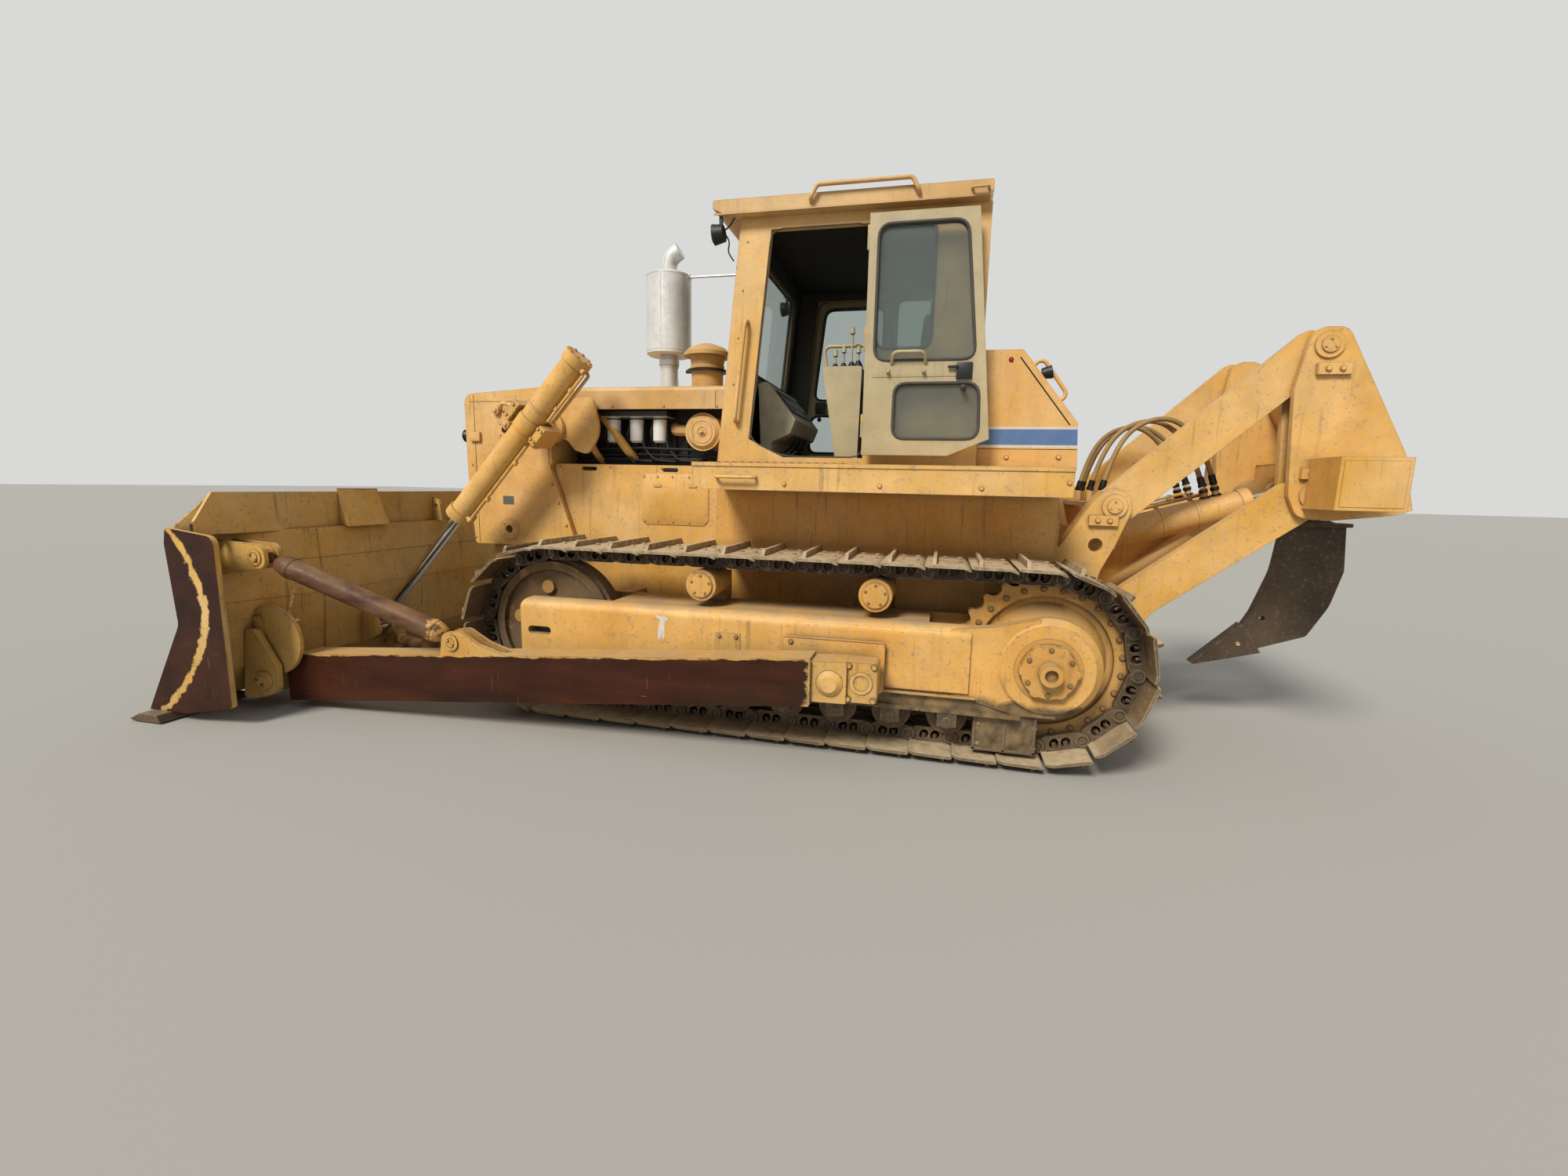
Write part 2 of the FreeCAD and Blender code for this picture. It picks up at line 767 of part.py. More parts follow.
for i, x in enumerate((d.carrier_rear, d.carrier_front)):
    carrier_end = beam_outer_face - 60
    carriers.append(
        bar(f"carrier_{i}", "Y", track_y - chain_half, carrier_end, x, carrier_z, d.carrier_radius)
    )
    carriers.append(
        bar(f"carrier_cap_{i}", "Y", carrier_end - 1, carrier_end + 14, x, carrier_z, d.carrier_cap_radius)
    )
    carriers.append(
        box(
            f"carrier_stand_{i}", x - 60, x + 60, beam_inner_face + 20, track_y - chain_half, d.beam_top,
            carrier_z + 50
        )
    )
finish("track_rollers", pair("roller_pair", fuse("rollers", rollers)))
finish("carrier_rollers", pair("carrier_pair", fuse("carriers", carriers)))

# Track frames: a beam with rounded top edges that forks round the sprocket and the idler
beam_side = plate("beam_side", "XZ", [
    (420.0, d.beam_bottom), (d.beam_front, d.beam_bottom), (d.beam_front, d.beam_top, 60),
    (420.0, d.beam_top),
], beam_inner_face, beam_outer_face)
beam_section = plate("beam_section", "YZ", [
    (beam_inner_face, d.beam_bottom - 1), (beam_outer_face, d.beam_bottom - 1),
    (beam_outer_face, d.beam_top, d.beam_edge_round),
    (beam_inner_face, d.beam_top, d.beam_edge_round),
], 419.0, d.beam_front + 1)
beam_solid = doc.addObject("Part::Common", "beam_solid")
beam_solid.Base = beam_side
beam_solid.Tool = beam_section
beam_forks = [
    box(
        f"beam_fork_{end}", low, high, beam_inner_face + d.beam_plate, beam_outer_face - d.beam_plate,
        d.beam_bottom - 1, d.beam_top + 1
    )
    for end, low, high in (("rear", 419.0, d.beam_box_rear), ("front", d.beam_box_front, d.beam_front + 1))
]
idler_slot = plate("idler_slot", "XZ", [
    (idler_x - 88, axle_z - 25, 24), (idler_x + 78, axle_z - 25, 24), (idler_x + 78, axle_z + 25, 24),
    (idler_x - 88, axle_z + 25, 24),
], beam_outer_face - d.beam_plate - 1, beam_outer_face + 1)
head = d.beam_head_radius
head_low = beam_outer_face - d.beam_plate
track_frame = fuse("track_frame_solid", [
    cut("beam_forked", beam_solid, beam_forks + [idler_slot]),
    bar("beam_head", "Y", head_low, beam_outer_face - 35, 0.0, axle_z, head),
    bar("beam_head_edge", "Y", beam_outer_face - 36, beam_outer_face, 0.0, axle_z, head, head - 40),
    plate("beam_neck", "XZ", [
        (60.0, axle_z + head - 8), (-60.0, d.rail_bottom + 20), (d.rail_rear, d.rail_bottom + 20),
        (560.0, d.beam_bottom),
        (560.0, d.beam_top - 20, 60), (300.0, d.beam_top + 10, 150),
    ], head_low, beam_outer_face - 12),
    box(
        "roller_rail", d.rail_rear, d.rail_front - 60, beam_outer_face - 100, beam_outer_face - 22,
        d.rail_bottom + 24, d.beam_bottom + 1
    ),
    box(
        "rail_flange", d.rail_rear - 20, d.rail_front, beam_outer_face - 110, beam_outer_face + 8,
        d.rail_bottom, d.rail_bottom + 25
    ),
    box(
        "inner_rail", 420.0, d.rail_front, beam_inner_face, beam_inner_face + 100, d.rail_bottom,
        d.beam_bottom + 1
    ),
    box(
        "guard_block", d.guard_block_rear, d.guard_block_front, beam_outer_face - 145, beam_outer_face - 40,
        92.0, d.rail_bottom + 25
    ),
    plate("trunnion_plate", "XZ", [
        (900.0, 400.0, 20), (1506.0, 400.0, 20), (1506.0, 700.0, 20), (900.0, 700.0, 20),
    ], beam_outer_face - 10, beam_outer_face + 45),
    bar(
        "trunnion", "Y", beam_outer_face + 40, arm_inner + d.arm_thick - 20, d.trunnion_x, d.trunnion_z,
        d.trunnion_radius
    ),
    bar(
        "trunnion_end", "Y", arm_inner + d.arm_thick - 21, arm_inner + d.arm_thick + 12, d.trunnion_x,
        d.trunnion_z, d.trunnion_radius, 44
    ),
])
head_bore = bar(
    "head_bore", "Y", head_low - 1, beam_outer_face + 1, 0.0, axle_z, d.hub_radius + d.running_gap
)
finish("track_frames", pair("track_frame_pair", cut("track_frame", track_frame, head_bore)))

# Cross shaft and equalizer bar, hull beam and rear case
shafts = fuse("shafts", [
    bar("pivot_shaft", "Y", -beam_inner_face, beam_inner_face, d.cross_shaft_x, d.cross_shaft_z, 85),
    box("equalizer_bar", 2840.0, 2990.0, -beam_inner_face, beam_inner_face, 640.0, 780.0),
])
hull = fuse("hull", [
    plate("hull_beam", "XZ", [
        (200.0, d.hull_bottom), (d.hull_front - 260, d.hull_bottom), (d.hull_front, d.hull_bottom + 220),
        (d.hull_front, d.hull_top), (200.0, d.hull_top),
    ], -d.hull_half, d.hull_half),
    plate("rear_case", "XZ", [
        (d.case_rear, d.case_bottom), (900.0, d.case_bottom), (900.0, d.hull_top),
        (d.case_front, d.hull_top),
        (d.case_front, d.case_top), (d.case_rear, d.case_top),
    ], -case_half, case_half),
])
finish("main_frame", fuse("main_frame_whole", [hull, shafts]))

# Fenders: a deck with turned-down lips, and a handle on its front corners
fender = plate("fender", "XZ", [
    (d.fender_rear, d.case_top), (d.fender_front - d.fender_nose, d.case_top),
    (d.fender_front, d.case_top + 25),
    (d.fender_front, d.fender_top), (d.fender_rear, d.fender_top),
], 0.0, d.fender_outer)
fender_lip = box(
    "fender_lip", d.fender_rear, d.fender_front + 6, d.fender_outer - 1, d.fender_outer + 6,
    d.fender_top - 24, d.fender_top
)
handle_out = d.fender_outer + 45
fender_handle = bent("fender_handle", [
    (1715.0, d.fender_outer - 2, 1635.0), (1715.0, handle_out, 1635.0), (1958.0, handle_out, 1635.0),
    (1958.0, d.fender_outer - 2, 1635.0),
], 10.0, 24.0)
fender_side = fuse("fender_side", [fender, fender_lip, fender_handle])
finish("fenders", fuse("fender_deck", [fender_side, mirrored("fender_right", fender_side)]))

# Engine: one block with its head
engine = fuse("engine", [
    box("engine_crankcase", 2420.0, 3345.0, -300.0, 300.0, d.hull_top, 1780.0),
    box("engine_head", 2480.0, 3340.0, -d.engine_head_half, d.engine_head_half, 1779.0, 2100.0),
])
finish("engine_block", engine)

# Nose: side plates, a round-edged top, bosses and a louvred front
nose_shell = plate("nose_shell", "XZ", [
    (d.guard_foot_rear, d.guard_bottom), (d.guard_front - 45, d.guard_bottom, 30),
    (d.guard_front - 5, 1635.0), (d.guard_front, d.guard_top, 80),
    (d.guard_rear, d.hood_top), (d.guard_rear, 1740.0), (d.guard_rear + 25, 1694.0),
], -d.guard_half, d.guard_half)
nose_hollow = box("nose_hollow", d.guard_front - 130, d.guard_front + 10, 60 - d.guard_half, d.guard_half - 60,
                  d.guard_bottom + 120, d.guard_top - 90)
boss_heights = (1204.0, 1970.0)
nose_bosses = [
    bar(f"nose_boss_{i}", "Y", -d.guard_half - 9, d.guard_half + 9, d.guard_boss_x, z, d.guard_boss_radius)
    for i, z in enumerate(boss_heights)
]
boss_holes = [bar(f"boss_hole_{side}_{i}", "Y", low, low + 61, d.guard_boss_x, z, 30)
              for i, z in enumerate(boss_heights) for side, low in (
                  ("left", d.guard_half - 50), ("right", -d.guard_half - 11)
              )]
filler_cap = bar("filler_cap", "Z", d.guard_top, d.hood_top + 55, d.guard_boss_x + 60, 0.0, 75)
nose_solid = fuse("nose_solid", [nose_shell, filler_cap] + nose_bosses)
finish("radiator_guard", cut("nose", nose_solid, [nose_hollow] + boss_holes))
slats = []
grille_low, grille_high = d.guard_bottom + 120, d.guard_top - 90
for i in range(int(d.slat_count.value)):
    z = grille_low + (grille_high - grille_low) * ((i + 0.5) / d.slat_count)
    slat_front = d.guard_front - 24
    slats.append(plate(f"slat_{i}", "XZ", [
        (slat_front - 46, z + 6), (slat_front, z - 26), (slat_front + 6, z - 18), (slat_front - 40, z + 14),
    ], 60 - d.guard_half, d.guard_half - 60))
slats.append(
    box("grille_post", d.guard_front - 91, d.guard_front - 55, -30.0, 30.0, grille_low, grille_high)
)
slats.append(
    box(
        "grille_back", d.guard_front - 130, d.guard_front - 90, 60 - d.guard_half, d.guard_half - 60,
        grille_low, grille_high
    )
)
for side, y in (("left", d.guard_half - 110), ("right", 60 - d.guard_half)):
    slats.append(
        box(
            f"grille_side_{side}", d.guard_front - 91, d.guard_front - 20, y, y + 50, grille_low,
            grille_high
        )
    )
finish("radiator_grille", fuse("grille", slats))

# Hood: a folded top with a band down each side
hood_low = d.hood_top - d.hood_band
sheet_inner, sheet_under = d.hood_half - d.sheet_wall, d.hood_top - d.sheet_wall
hood = plate("hood_sheet", "YZ", [
    (-d.hood_half, hood_low), (-sheet_inner, hood_low), (-sheet_inner, sheet_under, 23),
    (sheet_inner, sheet_under, 23),
    (sheet_inner, hood_low), (d.hood_half, hood_low), (d.hood_half, d.hood_top, 35),
    (-d.hood_half, d.hood_top, 35),
], d.hood_rear, d.guard_rear)
finish("hood", hood)

# Lower side panels of the engine bay, with two slots under their top edge
panel_slots = [
    [(x - 62, 1672.0, 13), (x + 62, 1672.0, 13), (x + 62, 1700.0, 13), (x - 62, 1700.0, 13)]
    for x in (2600.0, 3262.0)
]
side_panel = plate("side_panel", "XZ", [
    (d.hood_rear, d.hull_top), (d.guard_foot_rear - 3, d.hull_top), (d.guard_rear + 20, 1694.0),
    (d.guard_rear - 3, d.panel_top),
    (d.hood_rear, d.panel_top),
], d.hood_half - 30, d.hood_half, openings=panel_slots)
panel_foot = box(
    "side_panel_foot", d.hood_rear, d.guard_foot_rear - 4, d.hull_half - 20, d.hood_half - 1, d.hull_top,
    d.hull_top + 30
)
finish("engine_side_panels", pair("side_panel_pair", fuse("side_panel_whole", [side_panel, panel_foot])))

# Exhaust stack with its muffler, elbow and stay
stack = bent("stack_elbow", [
    (d.muffler_x, d.muffler_y, d.muffler_top - 2), (d.muffler_x, d.muffler_y, d.elbow_bottom + 62),
    (d.muffler_x - 92, d.muffler_y, d.elbow_bottom + 155 - d.stack_radius * 0.64),
], d.stack_radius, d.elbow_bend)
muffler = fuse("muffler_parts", [
    bar(
        "muffler_can", "Z", d.muffler_bottom + 12, d.muffler_top - 12, d.muffler_x, d.muffler_y,
        d.muffler_radius
    ),
    bar(
        "muffler_foot", "Z", d.muffler_bottom, d.muffler_bottom + 13, d.muffler_x, d.muffler_y,
        d.muffler_radius - 16, d.muffler_radius
    ),
    bar(
        "muffler_lid", "Z", d.muffler_top - 13, d.muffler_top, d.muffler_x, d.muffler_y, d.muffler_radius,
        d.muffler_radius - 16
    ),
    bar(
        "muffler_pipe", "Z", d.hood_top, d.muffler_bottom + 1, d.muffler_x, d.muffler_y, d.stack_radius + 6
    ),
    bar("pipe_collar_low", "Z", d.hood_top, d.hood_top + 40, d.muffler_x, d.muffler_y, d.stack_radius + 22),
    bar(
        "pipe_collar_high", "Z", d.muffler_bottom - 70, d.muffler_bottom - 30, d.muffler_x, d.muffler_y,
        d.stack_radius + 16
    ),
    stack,
    bar(
        "muffler_stay", "X", d.cab_front_top + 25, d.muffler_x - d.muffler_radius + 10, d.muffler_y,
        d.brace_rod_z, 9
    ),
])
finish("muffler", muffler)
precleaner_steps = (
    # name, low, high, low radius, high radius
    ("neck", d.hood_top, 2440.0, 118.0, 118.0),
    ("collar", 2439.0, 2466.0, 126.0, 126.0),
    ("bowl", 2465.0, 2530.0, 120.0, 132.0),
    ("rim", 2529.0, 2556.0, d.precleaner_radius, d.precleaner_radius),
    ("dome", 2555.0, 2592.0, d.precleaner_radius, 132.0),
    ("crown", 2591.0, 2622.0, 132.0, 52.0),
)
precleaner = fuse("precleaner_parts", [
    bar(
        f"precleaner_{name}", "Z", low, high, d.precleaner_x, d.precleaner_y, radius,
        None if radius == top_radius else top_radius
    )
    for name, low, high, radius, top_radius in precleaner_steps
])
finish("precleaner", precleaner)
engine_side = d.engine_head_half + d.running_gap
air_cleaner = fuse("air_cleaner_parts", [
    bar(
        "air_cleaner_can", "Y", engine_side, d.hood_half - 62, d.air_cleaner_x, d.air_cleaner_z,
        d.air_cleaner_radius - 8
    ),
    bar(
        "air_cleaner_band", "Y", d.hood_half - 90, d.hood_half - 70, d.air_cleaner_x, d.air_cleaner_z,
        d.air_cleaner_radius
    ),
    bar("air_cleaner_lid", "Y", d.hood_half - 63, d.hood_half - 40, d.air_cleaner_x, d.air_cleaner_z,
        d.air_cleaner_radius - 8,
        d.air_cleaner_radius - 30),
])
finish("air_cleaner", air_cleaner)
filters = [
    box(
        "filter_head", d.filter_first - 80, d.filter_first + 2 * d.filter_spacing + 80, engine_side, 420.0,
        d.filter_top - 50, d.filter_top - 7
    )
]
for i in range(3):
    x = d.filter_first + i * d.filter_spacing
    filters.append(
        bar(f"filter_{i}", "Z", d.filter_bottom + 14, d.filter_top - 49, x, 362.0, d.filter_radius)
    )
    filters.append(
        bar(
            f"filter_end_{i}", "Z", d.filter_bottom, d.filter_bottom + 15, x, 362.0, d.filter_radius - 14,
            d.filter_radius
        )
    )
finish("engine_filters", fuse("filters", filters))

# Cab: walls with their openings, corner rails and hinge posts
cab_base = d.fender_top
side_outline = [
    (d.cab_rear, cab_base), (d.cab_front, cab_base), (d.cab_front_top, d.cab_ceiling),
    (d.cab_rear, d.cab_ceiling),
]
doorway = [
    (d.door_hinge, d.cab_floor_top), (d.door_front_low - d.door_corner_run, d.cab_floor_top),
    (d.door_front_low - 5, d.door_corner), (d.door_front_top - 5, d.door_top - 10),
    (d.door_hinge, d.door_top - 10),
]
side_window = [
    (d.side_pane_rear, d.side_pane_low, 70), (d.side_pane_front, d.side_pane_low, 70),
    (d.side_pane_front, d.side_pane_high, 70), (d.side_pane_rear, d.side_pane_high, 70),
]
cab_side = plate(
    "cab_side", "XZ", side_outline, d.cab_half - d.cab_wall, d.cab_half, openings=[doorway, side_window]
)
cab_side_right = mirrored("cab_side_right", cab_side)
lean = (d.cab_front - d.cab_front_top) / (d.cab_ceiling - cab_base)


def frontFace(z):
    return d.cab_front - lean * (z - cab_base)


front_wall = plate("cab_front_wall", "XZ", [
    (d.cab_front - d.cab_wall, cab_base), (d.cab_front, cab_base), (d.cab_front_top, d.cab_ceiling),
    (d.cab_front_top - d.cab_wall, d.cab_ceiling),
], -d.cab_half, d.cab_half)
front_hole = box(
    "cab_front_hole", d.cab_front_top - 200, d.cab_front + 200, -d.pane_half, d.pane_half, d.pane_low,
    d.pane_high
)
rear_wall = box(
    "cab_rear_wall", d.cab_rear, d.cab_rear + d.cab_wall, -d.cab_half, d.cab_half, cab_base, d.cab_ceiling
)
rear_hole = box("cab_rear_hole", d.cab_rear - 10, d.cab_rear + d.cab_wall + 10, -d.rear_pane_half, d.rear_pane_half,
                d.rear_pane_low, d.rear_pane_high)
door_y = d.cab_half + d.door_gap
hinge_y = door_y + d.door_thick + d.hinge_reach
hinge_heights = (1900.0, 2420.0, 3000.0)
hinge_posts = []
for i, z in enumerate(hinge_heights):
    post_low, post_high = z + d.hinge_height + 0.3, z + d.hinge_height + 50
    hinge_posts.append(
        bar(f"hinge_post_{i}", "Z", post_low, post_high, d.door_hinge, hinge_y, d.hinge_radius)
    )
    hinge_posts.append(
        box(f"hinge_arm_{i}", d.door_hinge - 30, d.door_hinge, d.cab_half - 5, hinge_y, post_low, post_high)
    )
rail_out = d.cab_half + 52
hinge_posts.append(bent("pillar_rail", [
    (1979.0, d.cab_half - 5, 1998.0), (1979.0, rail_out, 1998.0), (1914.0, rail_out, 2627.0),
    (1914.0, d.cab_half - 5, 2627.0),
], d.rail_radius.value, 34.0))
posts = fuse("hinge_posts", hinge_posts)
cab_frame = fuse("cab_frame_whole", [
    posts, mirrored("hinge_posts_right", posts), cab_side, cab_side_right,
    cut("cab_front_cut", front_wall, front_hole), cut("cab_rear_cut", rear_wall, rear_hole),
])
finish("cab_frame", cab_frame)
cab_inner = d.cab_half - d.cab_wall
finish("cab_floor", box("cab_floor_plate", d.cab_rear + d.cab_wall, d.cab_front - d.cab_wall - 12, -cab_inner, cab_inner,
                        cab_base, d.cab_floor_top))

# Roof slab with its overhang, and a grab bar along each side
roof_top = d.cab_ceiling + d.roof_thick
bar_out = d.roof_half + 32
grab_bar = bent("grab_bar", [
    (860.0, d.roof_half - 4, roof_top - 50), (860.0, bar_out, roof_top - 40),
    (900.0, bar_out, roof_top + 30),
    (1460.0, bar_out, roof_top + 30), (1500.0, bar_out, roof_top - 40),
    (1500.0, d.roof_half - 4, roof_top - 50),
], d.rail_radius.value, [24.0, 30.0, 30.0, 24.0])
roof_slab = plate("cab_roof_slab", "XZ", [
    (d.cab_rear + 20, d.cab_ceiling), (d.roof_front - 90, d.cab_ceiling),
    (d.roof_front, d.cab_ceiling + 40),
    (d.roof_front, roof_top, 15), (d.cab_rear, roof_top, 15), (d.cab_rear, d.cab_ceiling + 40),
], -d.roof_half, d.roof_half)
finish("cab_roof", fuse("cab_roof_whole", [roof_slab, grab_bar, mirrored("grab_bar_right", grab_bar)]))
glass_back, glass_front = 30, 30 - d.glass_thick
panes = [
    plate("windshield", "XZ", [
        (frontFace(d.pane_low) - glass_back, d.pane_low), (frontFace(d.pane_low) - glass_front, d.pane_low),
        (frontFace(d.pane_high) - glass_front, d.pane_high),
        (frontFace(d.pane_high) - glass_back, d.pane_high),
    ], -d.pane_half, d.pane_half),
    box(
        "rear_pane", d.cab_rear + 20, d.cab_rear + 20 + d.glass_thick, -d.rear_pane_half, d.rear_pane_half,
        d.rear_pane_low, d.rear_pane_high
    ),
]
side_pane = plate("side_pane", "XZ", side_window, d.cab_half - glass_back, d.cab_half - glass_front)
panes += [side_pane, mirrored("side_pane_right", side_pane)]
finish("cab_glass", together("cab_panes", panes))

# Doors, drawn shut on the right and swung back flat on the left
door_outline = [
    (d.door_hinge + 6, d.door_bottom), (d.door_front_low - d.door_corner_run, d.door_bottom),
    (d.door_front_low, d.door_corner),
    (d.door_front_top, d.door_top), (d.door_hinge + 6, d.door_top),
]
upper_light = [
    (d.door_hinge + 62, 2350.0, 80), (d.door_front_low - 105, 2350.0, 80),
    (d.door_front_top - 60, 3120.0, 80), (d.door_hinge + 62, 3120.0, 80),
]
lower_light = [
    (d.door_hinge + 190, 1890.0, 50), (d.door_front_low - 62, 1890.0, 50),
    (d.door_front_low - 76, 2215.0, 50), (d.door_hinge + 190, 2215.0, 50),
]
leaf_out = door_y + d.door_thick
door_leaf = plate("door_leaf", "XZ", door_outline, door_y, leaf_out, openings=[upper_light, lower_light])
pane_y = door_y + 15
door_panes = [
    plate(f"door_pane_{i}", "XZ", light, pane_y, pane_y + d.glass_thick)
    for i, light in enumerate((upper_light, lower_light))
]
knuckles = []
for i, z in enumerate(hinge_heights):
    knuckles.append(
        bar(f"door_knuckle_{i}", "Z", z, z + d.hinge_height, d.door_hinge, hinge_y, d.hinge_radius)
    )
    knuckles.append(
        box(
            f"door_strap_{i}", d.door_hinge, d.door_hinge + 60, leaf_out - 1, hinge_y + 6, z,
            z + d.hinge_height
        )
    )
door = fuse("door_whole", [door_leaf] + door_panes + knuckles)
finish("cab_door_right", mirrored("door_right", door))
door_open = doc.addObject("Part::Compound", "door_swung")
door_open.Links = [door]
door_open.Placement = FreeCAD.Placement(FreeCAD.Vector(), FreeCAD.Rotation(FreeCAD.Vector(0, 0, 1), 180))
place(door_open, d.door_hinge * 2, hinge_y * 2, 0.0)
finish("cab_door_left", together("door_left", [door_open]))

# Seat, dash and lever console
seat_front = d.seat_x + 500
seat = fuse("seat", [
    plate("seat_base", "XZ", [
        (d.seat_x, d.cab_floor_top), (d.seat_x + 460, d.cab_floor_top), (d.seat_x + 380, 2040.0),
        (d.seat_x + 60, 2040.0),
    ], 40 - d.seat_half, d.seat_half - 40),
    plate("seat_cushion", "XZ", [
        (d.seat_x - 30, 2039.0, 20), (seat_front, 2039.0, 60), (seat_front, d.seat_top, 60),
        (d.seat_x - 30, d.seat_top - 30),
    ], -d.seat_half, d.seat_half),
    plate("seat_back", "XZ", [
        (d.seat_x - 20, 2110.0), (d.seat_x + 80, 2110.0), (d.seat_x + 20, d.seat_back_top, 40),
        (d.seat_x - 90, d.seat_back_top, 40),
    ], -d.seat_half, d.seat_half),
])
finish("operator_seat", seat)
dash_front = d.cab_front - d.cab_wall
finish("dash_console", plate("dash", "XZ", [
    (dash_front - 130, d.cab_floor_top), (dash_front - 100, 2310.0), (dash_front - 165, 2330.0, 30),
    (dash_front - 385, 2060.0, 20),
    (dash_front - 345, 1960.0, 30), (dash_front - 205, 1900.0, 40), (dash_front - 205, d.cab_floor_top),
], -d.dash_half - 100, d.dash_half))
levers = (
    # X, Y and top of each lever
    (1390.0, 500.0, 2470.0), (1330.0, 520.0, 2490.0), (1270.0, 560.0, 2600.0), (1220.0, 600.0, 2470.0),
)
lever_parts = [
    plate("lever_box", "XZ", [
        (1200.0, d.cab_floor_top), (1350.0, d.cab_floor_top), (1455.0, d.lever_top, 12),
        (1190.0, d.lever_top, 12),
    ], d.lever_inner, d.lever_outer),
    bent("lever_guard", [
        (1330.0, 470.0, 1800.0), (1362.0, 470.0, 1805.0), (1478.0, 470.0, 2540.0),
        (1160.0, 470.0, 2540.0), (1160.0, 470.0, 2250.0), (1215.0, 470.0, 2200.0),
    ], d.rail_radius.value - 1, [12.0, 40.0, 40.0, 20.0]),
]
for i, (x, y, top) in enumerate(levers):
    lever_parts.append(bar(f"lever_{i}", "Z", d.lever_top - 5, top, x, y, 7))
    lever_parts.append(bar(f"lever_knob_{i}", "Z", top - 1, top + 40, x, y, 17, 12))
finish("lever_console", fuse("levers", lever_parts))

# Rear tank behind the cab, with a handle on its slope
tank_edge = d.cab_rear - 235
tank_handle = bent("tank_handle", [
    (150.0, 500.0, 2330.0), (60.0, 500.0, 2440.0), (-110.0, 500.0, 2205.0), (-20.0, 500.0, 2120.0),
], d.rail_radius.value, [40.0, 40.0])
tank = plate("tank", "XZ", [
    (d.tank_rear, d.fender_top), (d.cab_rear, d.fender_top), (d.cab_rear, d.tank_top),
    (tank_edge, d.tank_top, 30),
    (d.tank_rear + 17, d.tank_shoulder, 20),
], -d.tank_half, d.tank_half)
tank_cap = bar("tank_cap", "Z", d.tank_top - 1, d.tank_top + 45, tank_edge + 110, -520.0, 62)
finish(
    "rear_tank",
    fuse("tank_whole", [tank, tank_handle, mirrored("tank_handle_right", tank_handle), tank_cap])
)


# Blade: a curved moldboard with its wings turned forward, a spill guard on top and end plates
def bladeSection(offset):
    back = d.blade_back + offset
    return [
        (back + 15, d.blade_top), (back - 20, 760.0, 300), (back + 30, 300.0), (back + 200, 100.0),
        (back + 330, d.edge_height), (back + 350, d.edge_height + 20), (back + 48, 600.0, 620),
        (back + 92, d.blade_top),
    ]


moldboard = doc.addObject("PartDesign::Body", "moldboard")
stations = (
    # name, Y and offset of each section
    ("wing_left", d.blade_half, d.wing_offset),
    ("centre_left", d.blade_centre_half, Size.of(0.0)),
    ("centre_right", -d.blade_centre_half, Size.of(0.0)),
    ("wing_right", -d.blade_half, d.wing_offset),
)
sections = [
    addSketch(moldboard, f"moldboard_{name}", "XZ", -y, bladeSection(offset))
    for name, y, offset in stations
]
loft = moldboard.newObject("PartDesign::AdditiveLoft", "moldboard_loft")
loft.Profile = sections[0]
loft.Sections = sections[1:]
loft.Ruled = True
wing_back = d.blade_back + d.wing_offset
end_plate = plate("end_plate", "XZ", [
    (wing_back - 310, 130.0, 30), (wing_back + 60, d.edge_height), (wing_back + 380, d.edge_height),
    (wing_back + 330, 150.0),
    (wing_back + 52, 640.0, 80), (wing_back + 92, 1150.0), (wing_back + 72, d.blade_top + 35, 20),
    (wing_back - 300, d.blade_top - 10, 60),
], d.blade_half, d.blade_half + d.end_plate_thick)
spill_half = d.blade_half - 130
spill_rear, spill_front = d.blade_back + 62, d.blade_back + 87
spill_guard = plate("spill_guard", "YZ", [
    (-d.blade_half, d.blade_top - 10), (d.blade_half, d.blade_top - 10), (d.blade_half, d.blade_top + 60),
    (spill_half, d.spill_top),
    (-spill_half, d.spill_top), (-d.blade_half, d.blade_top + 60),
], spill_rear, spill_front)
wing_plates = [plate(f"wing_top_{i}", "XY", [
    (spill_rear, side * (d.blade_centre_half - 20)), (spill_front + 20, side * (d.blade_centre_half - 20)),
    (wing_back + 92, side * d.blade_half),
    (wing_back + 10, side * d.blade_half), (spill_rear, side * (d.blade_half - 200)),
], d.blade_top - 12, d.blade_top + 12) for i, side in enumerate((1, -1))]
spill_gusset = plate("spill_gusset", "XZ", [
    (spill_rear + 5, d.spill_top + 24), (spill_rear - 100, d.blade_top - 5),
    (spill_rear + 5, d.blade_top - 5),
], 640.0, 1010.0)
lifting_eye = plate("lifting_eye", "XZ", [
    (spill_rear + 5, 1412.0), (spill_rear - 70, 1400.0, 60), (spill_rear - 90, d.blade_top - 5),
    (spill_rear + 5, d.blade_top - 5),
], 20.0, 50.0, circles=[(spill_rear - 35, 1345.0, 16)])
lift_ears = [
    plate(f"lift_ear_{side}", "XZ", [
        (d.lift_eye_x - 90, d.lift_eye_z - 70, 60), (d.blade_back + 60, d.lift_eye_z - 150),
        (d.blade_back + 40, d.lift_eye_z + 150),
        (d.lift_eye_x - 50, d.lift_eye_z + 80, 50),
    ], d.lift_y + low, d.lift_y + low + 30)
    for side, low in (("outer", 50), ("inner", -80))
]
arm_outer = arm_inner + d.arm_thick
brace_top_y = d.blade_half - 240
brace_ears = [
    plate(f"brace_ear_{side}", "XZ", [
        (d.brace_top_x - 85, d.brace_top_z - 65, 60), (5170.0, 940.0), (5190.0, 1165.0),
        (d.brace_top_x - 70, d.brace_top_z + 80, 60),
    ], brace_top_y + low, brace_top_y + low + 28)
    for side, low in (("inner", -62), ("outer", 34))
]
brace_pin = bar(
    "brace_top_pin", "Y", brace_top_y - 72, brace_top_y + 74, d.brace_top_x, d.brace_top_z,
    d.brace_pin_radius
)
